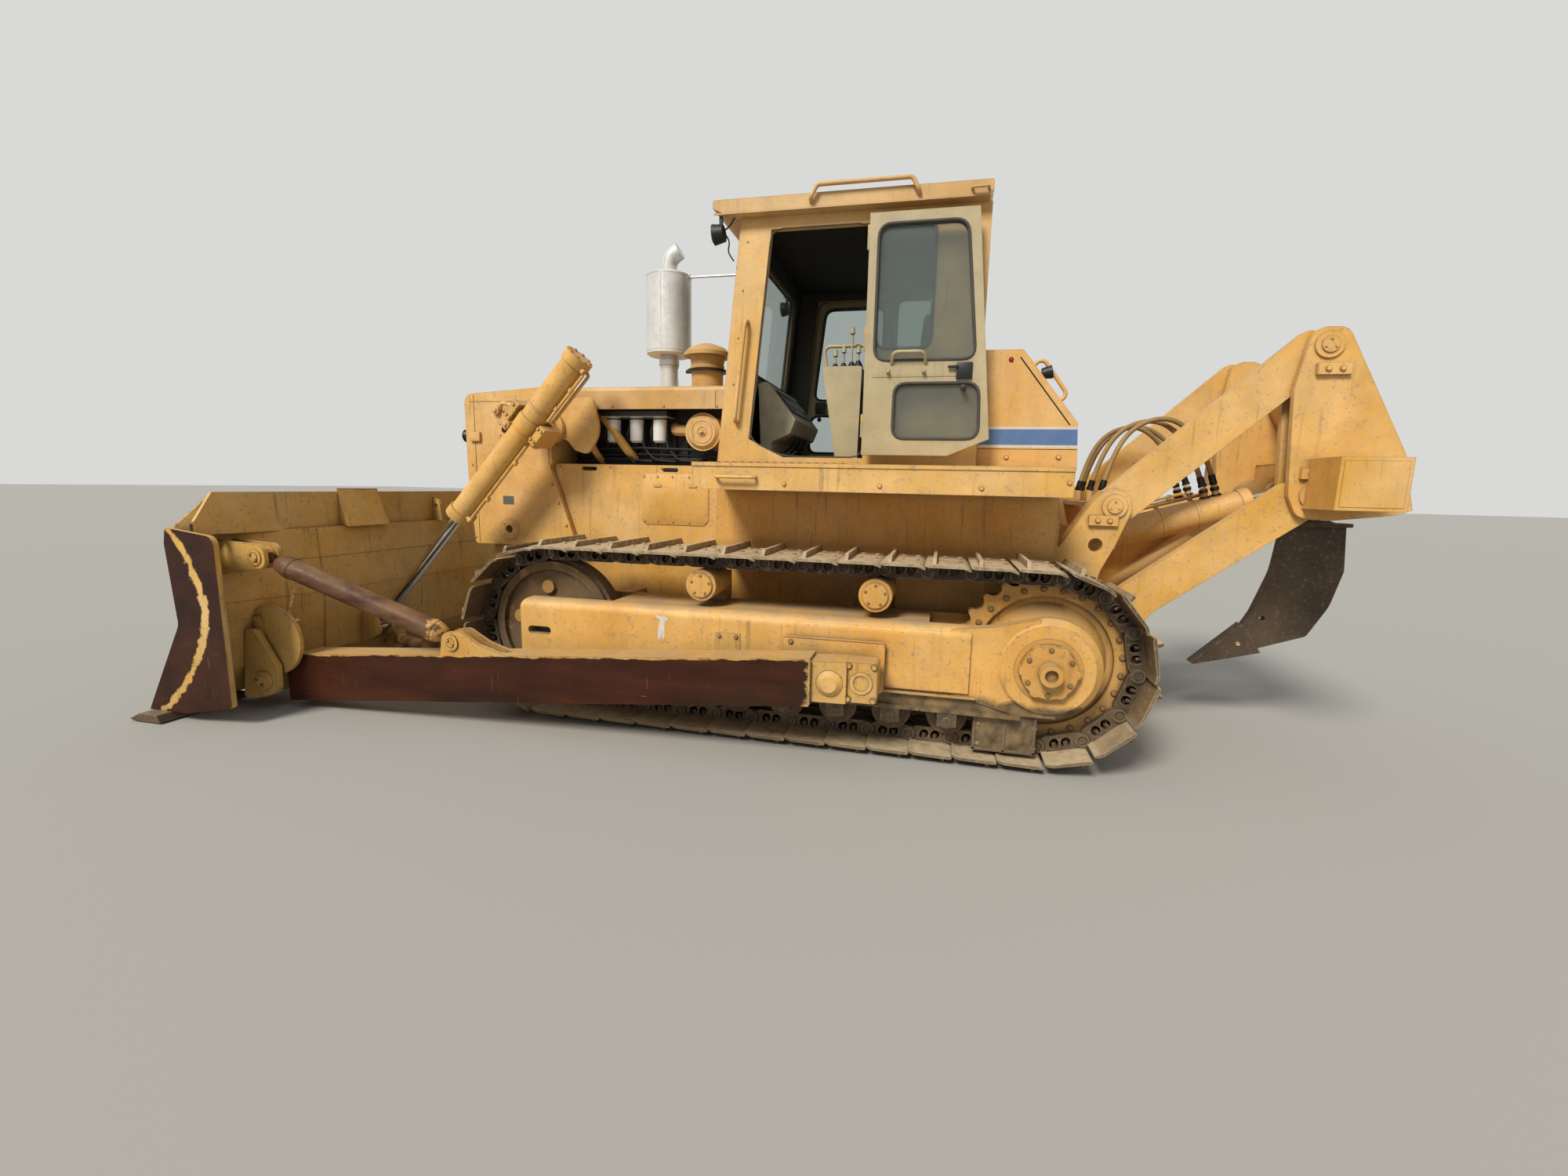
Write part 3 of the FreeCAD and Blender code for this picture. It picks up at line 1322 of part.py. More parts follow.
arm_joint = fuse("arm_joint", [
    plate("arm_joint_block", "XZ", [
        (d.arm_pin_x + 6, 110.0), (5240.0, 90.0), (5120.0, 640.0), (5050.0, 640.0),
    ], arm_inner + 20, arm_outer + 60),
    plate("arm_joint_lug", "XZ", [
        (5051.0, 560.0, 30), (d.arm_pin_x - 95, 319.0), (d.arm_pin_x - 90, 130.0, 80), (5089.0, 80.0),
        (5180.0, 90.0), (5120.0, 560.0),
    ], arm_outer + 60, arm_outer + 110),
    bar("arm_pin", "Y", arm_outer + 59, arm_outer + 135, d.arm_pin_x, d.arm_pin_z, 62),
    bar("arm_pin_cap", "Y", arm_outer + 134, arm_outer + 148, d.arm_pin_x, d.arm_pin_z, 40),
    bar("arm_gusset", "Y", arm_outer + 20, arm_outer + 45, 4975.0, 480.0, 235),
])
strut_pad = box("strut_pad", 4995.3, 5090.0, 540.0, 660.0, 175.0, 330.0)
blade_left = fuse(
    "blade_left", [end_plate, spill_gusset, brace_pin, arm_joint, strut_pad] + brace_ears + lift_ears
)
blade = fuse(
    "blade_whole",
    [moldboard, spill_guard, lifting_eye, blade_left, mirrored("blade_right", blade_left)] + wing_plates
)
finish("blade", blade)
edge_under = d.edge_height - 0.3
bit = plate("end_bit", "XZ", [
    (wing_back + 180, 12.0), (wing_back + 400, 8.0), (wing_back + d.edge_reach, 20.0),
    (wing_back + 350, edge_under),
    (wing_back + 200, edge_under),
], d.blade_half - 430, d.blade_half + 120)
edge = plate("cutting_edge_centre", "XZ", [
    (d.blade_back + 200, 12.0), (d.blade_back + 400, 8.0), (d.blade_back + d.edge_reach, 20.0),
    (d.blade_back + 350, edge_under),
    (d.blade_back + 210, edge_under),
], 20 - d.blade_centre_half, d.blade_centre_half - 20)
finish("cutting_edges", together("edges", [edge, bit, mirrored("end_bit_right", bit)]))

# Push arms on the trunnions of the track frames, each with a bearing cap and the clevis of its brace
arm_bar = plate("push_arm", "XZ", [
    (d.arm_rear, 372.0), (d.arm_front, 52.0), (d.arm_front, 366.0), (4840.0, 386.0), (d.arm_rear, 648.0),
], arm_inner, arm_outer)
arm_bearing = plate("arm_bearing", "XZ", [
    (d.arm_cap_front - 10, 400.0), (d.arm_rear + 5, 395.0), (d.arm_rear + 5, 630.0),
    (d.arm_cap_front - 10, 640.0, 15),
], arm_inner, arm_outer - 22)
arm_cap = plate("arm_cap", "XZ", [
    (d.arm_cap_rear, 406.0, 20), (d.arm_cap_front, 406.0), (d.arm_cap_front, 637.0),
    (d.arm_cap_rear, 637.0, 20),
], arm_inner, arm_outer - 45)
trunnion_bore = bar(
    "trunnion_bore", "Y", arm_inner - 1, arm_outer + 1, d.trunnion_x, d.trunnion_z, d.trunnion_radius + 0.5
)
brace_low_y = arm_outer - 60
clevis_ears = [
    plate(f"clevis_ear_{side}", "XZ", [
        (3705.0, 380.0), (d.brace_low_x + 70, d.brace_low_z + 60, 60),
        (d.brace_low_x - 60, d.brace_low_z + 80, 50), (3400.0, 560.0, 100),
        (3140.0, 480.0), (3140.0, 400.0),
    ], brace_low_y + low, brace_low_y + low + 26)
    for side, low in (("inner", -60), ("outer", 34))
]
clevis_pin = bar(
    "clevis_pin", "Y", brace_low_y - 70, brace_low_y + 72, d.brace_low_x, d.brace_low_z, d.brace_pin_radius
)
strut_ear = box(
    "strut_ear", d.strut_x - 60, d.strut_x + 60, arm_inner - 110, arm_inner + 1, d.strut_z - 140,
    d.strut_z - 60
)
push_arm = fuse(
    "push_arm_whole",
    [
        cut("arm_bored", fuse("arm_solid", [arm_bar, arm_bearing, arm_cap]), trunnion_bore), strut_ear,
        clevis_pin
    ] + clevis_ears
)
finish("push_arms", pair("push_arm_pair", push_arm))

# Braces from the push arms up to the blade, and struts from the arms in to its middle
low_pin = (d.brace_low_x, brace_low_y, d.brace_low_z)
top_pin = (d.brace_top_x, brace_top_y, d.brace_top_z)


def between(start, end, share):
    return tuple(a + (b - a) * share for a, b in zip(start, end))


brace_steps = (
    # share of the way, radius
    (0.036, 19.0), (0.07, 19.0), (0.08, 28.0), (0.12, 28.0), (0.13, d.brace_radius.value),
    (0.84, d.brace_radius.value),
    (0.845, d.brace_radius.value + 8), (0.87, d.brace_radius.value + 8), (0.89, 28.0), (0.92, 28.0),
    (0.93, 19.0), (0.964, 19.0),
)
brace = feature("brace", turned(low_pin, top_pin, brace_steps, 62.0, 33.0, d.brace_pin_radius.value + 0.3))
strut_end = (5012.0, 600.0, 250.0)
strut_y = arm_inner - 62
strut_foot = (d.strut_x, strut_y, d.strut_z)
strut = cut("strut", fuse("strut_parts", [
    rod("strut_tube", between(strut_foot, strut_end, 0.01), strut_end, d.strut_radius),
    bar("strut_ball", "Z", d.strut_z - 59.7, d.strut_z + 120, d.strut_x, strut_y, 54),
    bar("strut_nut", "Z", d.strut_z + 119, d.strut_z + 150, d.strut_x, strut_y, 40),
]), box("strut_trim", 4995.0, 5300.0, 400.0, 800.0, 100.0, 540.0))
finish("braces", pair("brace_pair", together("brace_and_strut", [brace, strut])))

# Lift cylinders: the barrel swings with its yoke on the nose, the rod slides in it
lift_angle = slope(d.lift_top_z - d.lift_eye_z, d.lift_eye_x - d.lift_top_x)
lift_length = length(d.lift_eye_x - d.lift_top_x, d.lift_top_z - d.lift_eye_z)


def swung(name, thing, x, z, angle):
    """Turns a piece drawn along X about Y, so that it points down by angle, and moves it to (x, z)."""
    holder = doc.addObject("Part::Compound", name)
    holder.Links = [thing]
    holder.Placement = FreeCAD.Placement(FreeCAD.Vector(), FreeCAD.Rotation(FreeCAD.Vector(0, 1, 0), 1))
    bind(holder, "Placement.Rotation.Angle", angle)
    place(holder, x, 0.0, z)
    return holder


barrel_inner = d.lift_y - d.lift_barrel_radius - 14
pin_reach = d.yoke_pin_reach
barrel_steps = (
    # name, start, end, added radius
    ("tube", -d.lift_behind, d.lift_ahead - 20, 0),
    ("end_cap", -d.lift_behind - 26, 45 - d.lift_behind, 14),
    ("seam_rear", Size.of(-150.0), Size.of(-135.0), 5), ("collar", Size.of(-50.0), Size.of(60.0), 8),
    ("gland", d.lift_ahead - 70, d.lift_ahead, 14),
)
barrel_parts = [
    bar(f"lift_{name}", "X", start, end, d.lift_y, 0.0, d.lift_barrel_radius + more)
    for name, start, end, more in barrel_steps
]
barrel_parts += [
    bar("yoke_pins", "Z", -pin_reach, pin_reach, 0.0, d.lift_y, 34),
    box("yoke_bridge", -75.0, 75.0, barrel_inner - 55, barrel_inner, -pin_reach, pin_reach),
    bar("yoke_pivot", "Y", d.guard_half + 30, barrel_inner - 54, 0.0, 0.0, 62),
]
for side, low, high in (
    ("low", -pin_reach, -d.lift_barrel_radius - 18), ("high", d.lift_barrel_radius + 18, pin_reach)
):
    barrel_parts.append(box(f"yoke_arm_{side}", -75.0, 75.0, barrel_inner - 1, d.lift_y + 66, low, high))
barrel = cut("lift_barrel", fuse("lift_barrel_solid", barrel_parts),
             bar(
                 "lift_bore", "X", 40 - d.lift_behind, d.lift_ahead + 1, d.lift_y, 0.0,
                 d.lift_rod_radius + 0.5
             ))
lift_barrel = swung("lift_barrel_swung", barrel, d.lift_top_x, d.lift_top_z, lift_angle)
finish("lift_cylinder_left", lift_barrel)
finish("lift_cylinder_right", mirrored("lift_barrel_right", lift_barrel))
lift_rod = fuse("lift_rod_parts", [
    bar("lift_rod_bar", "X", lift_length - 1640, lift_length - 40, d.lift_y, 0.0, d.lift_rod_radius),
    bar("lift_rod_eye", "Y", d.lift_y - 42, d.lift_y + 42, lift_length, 0.0, 62),
])
lift_rod_swung = swung("lift_rod_swung", lift_rod, d.lift_top_x, d.lift_top_z, lift_angle)
finish("lift_rod_left", lift_rod_swung)
finish("lift_rod_right", mirrored("lift_rod_right_side", lift_rod_swung))
yoke = fuse("yoke_parts", [
    bar("yoke_boss", "Y", d.guard_half, d.guard_half + 60, d.lift_top_x, d.lift_top_z, 118),
    plate("yoke_shield", "XZ", [
        (d.guard_rear + 240, d.lift_top_z + 190, 40), (d.lift_top_x - 350, d.lift_top_z + 225, 60),
        (d.lift_top_x - 410, d.lift_top_z - 40, 200),
        (d.lift_top_x - 300, d.lift_top_z - 200, 60), (d.lift_top_x - 190, d.lift_top_z - 165, 30),
        (d.lift_top_x - 120, d.lift_top_z - 80, 60),
        (d.guard_rear + 200, d.lift_top_z - 150, 60),
    ], d.guard_half, d.guard_half + 25),
])
yoke_bore = bar(
    "yoke_bore", "Y", d.guard_half + 29.7, d.guard_half + 61, d.lift_top_x, d.lift_top_z, 62 + d.running_gap
)
finish("lift_yokes", pair("yoke_pair", cut("yoke", yoke, yoke_bore)))

# Ripper: brackets on the rear case, two lower arms, two upper links, the carrier with its beam, and the shank
lower_front_x = d.lower_rear_x + d.upper_front_x - d.upper_rear_x
lower_front_z = d.lower_rear_z + d.upper_front_z - d.upper_rear_z
inner_low = d.ripper_y - d.ripper_link_thick / 2 - 5 - d.ripper_plate
outer_low = d.ripper_y + d.ripper_link_thick / 2 + 5
outer_high = outer_low + d.ripper_plate
pin_low, pin_high = inner_low, outer_high + 24
ripper_pins = {
    # each pin with its X, Z and the direction of the keeper plate beside it
    "upper_front": (d.upper_front_x, d.upper_front_z, (60.0, -90.0)),
    "lower_front": (lower_front_x, lower_front_z, None),
    "upper_rear": (d.upper_rear_x, d.upper_rear_z, (-35.0, -135.0)),
    "lower_rear": (d.lower_rear_x, d.lower_rear_z, (0.0, 125.0)),
}


def ripperPin(name):
    """A pin with its boss and, where it shows, the bolted keeper that holds it."""
    x, z, keeper = ripper_pins[name]
    parts = [
        bar(f"{name}_pin", "Y", pin_low, pin_high, x, z, d.ripper_pin_radius),
        bar(f"{name}_boss", "Y", outer_high - 1, outer_high + 14, x, z, d.ripper_boss_radius),
    ]
    if keeper:
        kx, kz = x + keeper[0], z + keeper[1]
        parts.append(
            box(f"{name}_keeper", kx - 85, kx + 85, outer_high - 1, outer_high + 26, kz - 32, kz + 32)
        )
    return parts


bracket_outline = [
    (d.case_rear, 520.0), (d.case_rear, 1200.0), (-130.0, 1267.0), (-300.0, 1545.0),
    (d.upper_front_x + 45, d.upper_front_z + 112, 70),
    (d.upper_front_x - 85, d.upper_front_z + 85, 80), (d.upper_front_x - 102, d.upper_front_z - 30, 50),
    (-446.0, 1265.0), (-373.0, 1103.0, 60),
    (-330.0, 900.0), (lower_front_x - 110, lower_front_z + 110, 60),
    (lower_front_x - 110, lower_front_z - 110, 60),
]
service_bore = (d.ripper_cylinder_x, d.ripper_cylinder_z, d.service_bore_radius)
bracket = fuse("bracket", [
    plate("bracket_inner", "XZ", bracket_outline, inner_low, inner_low + d.ripper_plate),
    plate("bracket_outer", "XZ", bracket_outline, outer_low, outer_high, circles=[service_bore]),
] + ripperPin("upper_front") + ripperPin("lower_front"))
lug_sides = (("inner", -80), ("outer", 50))
cylinder_lugs = [
    plate(f"cylinder_lug_{side}", "XZ", [
        (d.case_rear, 1150.0), (d.case_rear, 1380.0),
        (d.ripper_cylinder_x - 50, d.ripper_cylinder_z + 70, 40),
        (d.ripper_cylinder_x - 70, d.ripper_cylinder_z - 70, 40),
    ], d.ripper_cylinder_y + low, d.ripper_cylinder_y + low + 30)
    for side, low in lug_sides
]
cylinder_pin = bar(
    "cylinder_pin", "Y", d.ripper_cylinder_y - 95, d.ripper_cylinder_y + 95, d.ripper_cylinder_x,
    d.ripper_cylinder_z, 38
)
lugs = fuse("cylinder_lugs", cylinder_lugs + [cylinder_pin])
back_plate = box("bracket_back", d.case_rear - 30, d.case_rear, -outer_high, outer_high, 520.0, 1420.0)
hose_shelf = box(
    "hose_shelf", d.upper_front_x + 15, d.upper_front_x + 120, -inner_low - 5, inner_low + 5, 1500.0, 1530.0
)
ripper_base = [
    bracket, mirrored("bracket_right", bracket), lugs, mirrored("cylinder_lugs_right", lugs), back_plate,
    hose_shelf
]

arm_low, arm_high = d.ripper_y - d.ripper_link_thick / 2, d.ripper_y + d.ripper_link_thick / 2
bore = d.ripper_pin_radius + 0.5
lower_arm = plate("lower_arm", "XZ", [
    (lower_front_x + 95, lower_front_z - 95, 70), (lower_front_x + 95, lower_front_z + 100, 70),
    (-520.0, 1005.0, 150), (-1340.0, 1665.0), (d.lower_rear_x + 20, d.lower_rear_z + 110, 80),
    (d.lower_rear_x - 100, d.lower_rear_z + 40, 80), (d.lower_rear_x - 60, d.lower_rear_z - 110, 60),
    (-710.0, 845.0, 150), (lower_front_x - 95, lower_front_z - 95, 70),
], arm_low, arm_high, circles=[
    (lower_front_x, lower_front_z, bore), (d.lower_rear_x, d.lower_rear_z, bore)
])
cross_plate = box("arm_cross_plate", -330.0, 330.0, -arm_low - 5, arm_low + 5, -20.0, 20.0)
cross_plate = swung("arm_cross_plate_swung", cross_plate, -900.0, 1075.0, Size.of(39.0))
arms = fuse("ripper_arms", [lower_arm, mirrored("lower_arm_right", lower_arm), cross_plate])
finish("ripper_arm", arms)

upper_link = plate("upper_link", "XZ", [
    (d.upper_front_x + 90, d.upper_front_z - 60, 60), (d.upper_front_x + 60, d.upper_front_z + 95, 60),
    (d.upper_rear_x + 95, d.upper_rear_z + 95, 60),
    (d.upper_rear_x - 85, d.upper_rear_z + 60, 60), (d.upper_rear_x - 60, d.upper_rear_z - 95, 60),
    (d.upper_front_x - 95, d.upper_front_z - 95, 60),
], arm_low, arm_high, circles=[
    (d.upper_front_x, d.upper_front_z, bore), (d.upper_rear_x, d.upper_rear_z, bore)
])
finish("ripper_links", pair("upper_link_pair", upper_link))

carrier_outline = [
    (-1310.0, 2210.0), (d.upper_rear_x + 100, d.upper_rear_z + 20),
    (d.upper_rear_x + 70, d.upper_rear_z + 98, 80),
    (d.upper_rear_x - 85, d.upper_rear_z + 98, 80), (-1905.0, 1851.0), (-1982.0, 1531.0), (-1902.0, 1500.0),
    (-1574.0, 1457.0),
    (d.lower_rear_x + 70, d.lower_rear_z - 130, 80), (d.lower_rear_x + 127, d.lower_rear_z - 10, 60),
    (-1345.0, 1690.0),
]
carrier_side = fuse("carrier_side", [
    plate("carrier_inner", "XZ", carrier_outline, inner_low, inner_low + d.ripper_plate),
    plate("carrier_outer", "XZ", carrier_outline, outer_low, outer_high),
    box("beam_end", d.beam_end_rear, d.beam_end_front, outer_high - 1, d.beam_half, 1525.0, 1813.0),
] + ripperPin("upper_rear") + ripperPin("lower_rear"))
tool_beam = box("tool_beam", d.tool_beam_rear, d.tool_beam_front, -outer_high, outer_high, 1530.0, 1815.0)
carrier_back = plate("carrier_back", "XZ", [
    (-1893.0, 1812.0), (-1855.0, 1812.0), (-1620.0, 2215.0), (-1658.0, 2215.0),
], -inner_low - 5, inner_low + 5)
carrier_lugs = [
    plate(f"carrier_lug_{side}", "XZ", [
        (d.tool_beam_front - 5, 1535.0), (d.tool_beam_front - 5, 1730.0),
        (d.lower_rear_x + 60, d.lower_rear_z + 70, 50),
        (d.lower_rear_x + 60, d.lower_rear_z - 70, 50),
    ], d.ripper_cylinder_y + low, d.ripper_cylinder_y + low + 30)
    for side, low in lug_sides
]
carrier_lugs += [mirrored(f"carrier_lug_right_{i}", lug) for i, lug in enumerate(carrier_lugs)]
pocket_side = d.shank_half + 0.3
shank_pocket = box(
    "shank_pocket", d.shank_back - 0.3, d.shank_front + 0.3, -pocket_side, pocket_side, 1400.0, 1900.0
)
carrier = fuse(
    "carrier_solid",
    [carrier_side, mirrored("carrier_side_right", carrier_side), tool_beam, carrier_back] + carrier_lugs
)
finish("ripper_carrier", cut("carrier_whole", carrier, shank_pocket))

shank = plate("shank_blade", "XZ", [
    (d.shank_front, 1440.0), (d.shank_front, 1860.0), (d.shank_back, 1860.0), (d.shank_back, 1440.0),
    (d.shank_rear + 25, 1410.0),
    (d.shank_rear, 1110.0), (-1945.0, 870.0, 300), (-1835.0, 655.0, 40), (-1560.0, 552.0), (-1445.0, 700.0),
    (-1497.0, 806.0, 300),
    (-1585.0, 1090.0, 500),
], -d.shank_half, d.shank_half)
shank_collar = box("shank_collar", d.shank_rear + 4, -1660.0, -70.0, 70.0, 1402.0, 1428.0)
tip = plate(
    "shank_tip", "XZ", [(-1150.0, 420.0), (-1440.0, 718.0), (-1575.0, 522.0), (-1166.0, 408.0)], -48.0, 48.0
)
tip_holes = [
    bar(f"tip_hole_{i}", "Y", -50.0, 50.0, x, z, 18)
    for i, (x, z) in enumerate(((-1560.0, 760.0), (-1428.0, 575.0)))
]
finish("ripper_shank", cut("shank_whole", fuse("shank_solid", [shank, shank_collar, tip]), tip_holes))

ripper_angle = slope(d.ripper_cylinder_z - d.lower_rear_z, d.ripper_cylinder_x - d.lower_rear_x)
ripper_length = length(d.ripper_cylinder_x - d.lower_rear_x, d.lower_rear_z - d.ripper_cylinder_z)
port_places = (773.0, 839.0)
ripper_barrel = cut("ripper_barrel", fuse("ripper_barrel_solid", [
    bar(
        "ripper_tube", "X", -d.ripper_ahead, Size.of(-90.0), d.ripper_cylinder_y, 0.0,
        d.ripper_barrel_radius
    ),
    bar(
        "ripper_gland", "X", -d.ripper_ahead, 60 - d.ripper_ahead, d.ripper_cylinder_y, 0.0,
        d.ripper_barrel_radius + 5
    ),
    bar("ripper_barrel_eye", "Y", d.ripper_cylinder_y - 44, d.ripper_cylinder_y + 44, 0.0, 0.0, 70),
    box(
        "ripper_barrel_neck", -100.0, -30.0, d.ripper_cylinder_y - 44, d.ripper_cylinder_y + 44, -55.0, 55.0
    ),
] + [
    bar(f"hose_fitting_{i}", "Z", 80.0, d.hose_port - d.port_seat, -x, d.ripper_cylinder_y, 21)
    for i, x in enumerate(port_places)
]), [
    bar(
        "ripper_bore", "X", -d.ripper_ahead - 1, Size.of(-130.0), d.ripper_cylinder_y, 0.0,
        d.ripper_rod_radius + 0.5
    ),
    bar("ripper_eye_bore", "Y", d.ripper_cylinder_y - 45, d.ripper_cylinder_y + 45, 0.0, 0.0, 38.5),
])
ripper_barrel_swung = swung(
    "ripper_barrel_swung", ripper_barrel, d.ripper_cylinder_x, d.ripper_cylinder_z, -ripper_angle
)
finish("ripper_cylinders", pair("ripper_cylinder_pair", ripper_barrel_swung))
ripper_rod = fuse("ripper_rod_parts", [
    bar(
        "ripper_rod_bar", "X", 40 - ripper_length, 860 - ripper_length, d.ripper_cylinder_y, 0.0,
        d.ripper_rod_radius
    ),
    bar("ripper_rod_eye", "Y", d.ripper_cylinder_y - 44, d.ripper_cylinder_y + 44, -ripper_length, 0.0, 68),
])
ripper_rod_swung = swung(
    "ripper_rod_swung", ripper_rod, d.ripper_cylinder_x, d.ripper_cylinder_z, -ripper_angle
)
finish("ripper_rods", pair("ripper_rod_pair", ripper_rod_swung))

# Hoses of the ripper cylinders: from fittings on the shelf, in an arch, down to the ports on the barrels
hose_along = math.radians(ripper_angle.value)
port = [
    (d.ripper_cylinder_x.value - s * math.cos(hose_along) - d.hose_port.value * math.sin(hose_along),
     d.ripper_cylinder_z.value - s * math.sin(
         hose_along
     ) + d.hose_port.value * math.cos(hose_along)) for s in port_places
]
hose_arch = (
    # X and Z of the corners of the arch of the nearer port
    (-398.0, 1610.0), (-432.0, 1822.0), (-540.0, 2025.0), (-735.0, 2085.0), (-893.0, 1968.0),
    (-982.0, 1790.0),
)
hoses = (
    # number, side, port, X and Y at the shelf, Y at the port
    (1, 1, 0, -352.0, 200.0, 250.0), (2, 1, 1, -398.0, 330.0, 250.0), (3, -1, 0, -352.0, 200.0, 250.0),
    (4, -1, 1, -398.0, 330.0, 250.0),
)
hose_fittings = []
for number, side, which, start_x, start_y, end_y in hoses:
    corners = [*hose_arch, port[0]]
    route = []
    for i, (x, z) in enumerate(corners):
        share = i / (len(corners) - 1)
        x += (start_x - hose_arch[0][0]) * (1 - share) + (port[which][0] - port[0][0]) * share
        z += (port[which][1] - port[0][1]) * share
        route.append((x, side * (start_y + (end_y - start_y) * share), z))
    radii = []
    for before, corner, after in zip(route, route[1:], route[2:]):
        back = FreeCAD.Vector(*before) - FreeCAD.Vector(*corner)
        ahead = FreeCAD.Vector(*after) - FreeCAD.Vector(*corner)
        half_turn = (math.pi - back.getAngle(ahead)) / 2
        radii.append(0.45 * min(back.Length, ahead.Length) / math.tan(half_turn))
    print(f"ripper_hose_{number} bend radii: " + ", ".join(f"{r:.0f}" for r in radii))
    finish(f"ripper_hose_{number}", bent(f"hose_{number}", route, d.hose_radius, radii))
    x, y, z = route[0]
    hose_fittings.append(bar(f"shelf_fitting_{number}", "Z", 1529.0, z - d.shelf_seat, x, y, 21))
finish("ripper_frame", fuse("ripper_frame_whole", ripper_base + hose_fittings))

# Checks every object, then writes one file for each finished piece
doc.recompute()
for thing in doc.Objects:
    if "Invalid" in thing.State or "Error" in thing.State:
        raise RuntimeError(f"{thing.Name} failed: {thing.State}")
os.makedirs("parts", exist_ok=True)
for label, thing in nodes.items():
    shape = thing.Shape
    if shape.isNull() or not shape.isValid() or not shape.Solids:
        raise RuntimeError(f"{label} has no valid solid")
    shape.exportStep(f"parts/{label}.step")
    box_ = shape.BoundBox
    print(f"{label}: {len(shape.Solids)} solids, x {box_.XMin:.0f} {box_.XMax:.0f}, y {box_.YMin:.0f} {box_.YMax:.0f}, "
          f"z {box_.ZMin:.0f} {box_.ZMax:.0f}")
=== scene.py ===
import json
import math
import random

import bmesh
import bpy
from mathutils import Matrix, Vector
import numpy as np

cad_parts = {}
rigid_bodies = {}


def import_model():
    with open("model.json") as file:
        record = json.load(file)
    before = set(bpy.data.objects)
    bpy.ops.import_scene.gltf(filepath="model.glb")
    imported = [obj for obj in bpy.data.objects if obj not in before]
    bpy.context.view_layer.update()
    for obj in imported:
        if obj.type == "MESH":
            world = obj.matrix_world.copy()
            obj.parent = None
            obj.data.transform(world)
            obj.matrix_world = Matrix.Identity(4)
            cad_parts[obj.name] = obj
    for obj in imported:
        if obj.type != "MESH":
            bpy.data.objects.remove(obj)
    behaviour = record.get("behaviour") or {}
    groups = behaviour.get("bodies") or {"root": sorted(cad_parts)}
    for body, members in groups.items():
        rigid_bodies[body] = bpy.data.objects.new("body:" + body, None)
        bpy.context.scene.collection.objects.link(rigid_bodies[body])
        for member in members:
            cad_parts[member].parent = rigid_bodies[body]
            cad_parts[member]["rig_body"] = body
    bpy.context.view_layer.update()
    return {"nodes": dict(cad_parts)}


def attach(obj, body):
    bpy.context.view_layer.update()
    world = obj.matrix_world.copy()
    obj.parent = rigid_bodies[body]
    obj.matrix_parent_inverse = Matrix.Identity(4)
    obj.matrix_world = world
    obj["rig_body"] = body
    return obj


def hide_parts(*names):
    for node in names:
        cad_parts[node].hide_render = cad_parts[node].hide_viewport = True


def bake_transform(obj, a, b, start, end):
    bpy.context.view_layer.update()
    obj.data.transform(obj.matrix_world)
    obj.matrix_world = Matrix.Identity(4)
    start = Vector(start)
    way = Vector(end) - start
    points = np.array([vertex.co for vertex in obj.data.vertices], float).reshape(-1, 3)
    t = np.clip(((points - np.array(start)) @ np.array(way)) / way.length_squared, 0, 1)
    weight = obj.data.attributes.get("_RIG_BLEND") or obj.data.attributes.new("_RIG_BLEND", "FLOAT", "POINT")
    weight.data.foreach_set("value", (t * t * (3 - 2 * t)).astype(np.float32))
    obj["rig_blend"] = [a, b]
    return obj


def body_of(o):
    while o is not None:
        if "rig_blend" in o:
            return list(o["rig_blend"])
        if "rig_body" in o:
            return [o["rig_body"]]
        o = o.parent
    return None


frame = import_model()
nodes = frame["nodes"]
print("frame loaded:", len(nodes), "nodes")


# Colour and node helpers

def fromHex(text):
    # sRGB hex to linear, with alpha 1
    parts = [int(text[i:i + 2], 16) / 255 for i in (1, 3, 5)]
    return tuple(c / 12.92 if c <= 0.04045 else ((c + 0.055) / 1.055) ** 2.4 for c in parts) + (1.0,)


def addNode(tree, kind, settings=None, **inputs):
    # one node: settings are its own properties, inputs are values or sockets to link
    node = tree.nodes.new("ShaderNode" + kind)
    for name, value in (settings or {}).items():
        setattr(node, name, value)
    for name, value in inputs.items():
        key = int(name[1:]) if name[0] == "i" and name[1:].isdigit() else name.replace("_", " ")
        if isinstance(value, bpy.types.NodeSocket):
            tree.links.new(value, node.inputs[key])
        else:
            node.inputs[key].default_value = value
    return node


def layer(tree, under, over, factor):
    return addNode(tree, "Mix", {"data_type": "RGBA"}, i0=factor, i6=under, i7=over).outputs[2]


def ramp(tree, value, low, high, start=0.0, end=1.0):
    return addNode(tree, "MapRange", i0=value, i1=low, i2=high, i3=start, i4=end).outputs[0]


def combine(tree, operation, a, b=0.0):
    return addNode(tree, "Math", {"operation": operation}, i0=a, i1=b).outputs[0]


def times(tree, a, b):
    return combine(tree, "MULTIPLY", a, b)


def plus(tree, a, b):
    return combine(tree, "ADD", a, b)


def absolute(tree, a):
    return combine(tree, "ABSOLUTE", a)


def greater(tree, a, b):
    return combine(tree, "MAXIMUM", a, b)


def pattern(tree, size, detail=3.0, stretch=(1, 1, 1), shift=0.0, distortion=0.0):
    # noise with features about size mm across, on object coordinates
    spot = addNode(tree, "TexCoord").outputs["Object"]
    spot = addNode(tree, "Mapping", i0=spot, i1=(shift, shift, shift), i3=stretch).outputs[0]
    return addNode(tree, "TexNoise", Vector=spot, Scale=1000.0 / size, Detail=detail, Roughness=0.55,
                   Distortion=distortion).outputs[0]


def axisValue(tree, source, axis):
    return addNode(tree, "SeparateXYZ", i0=source).outputs[axis]


def placeOn(tree, axis):
    # where a point of the finish lies along an axis, in metres
    return axisValue(tree, addNode(tree, "TexCoord").outputs["Object"], axis)


def facing(tree, axis):
    return axisValue(tree, addNode(tree, "NewGeometry").outputs["Normal"], axis)


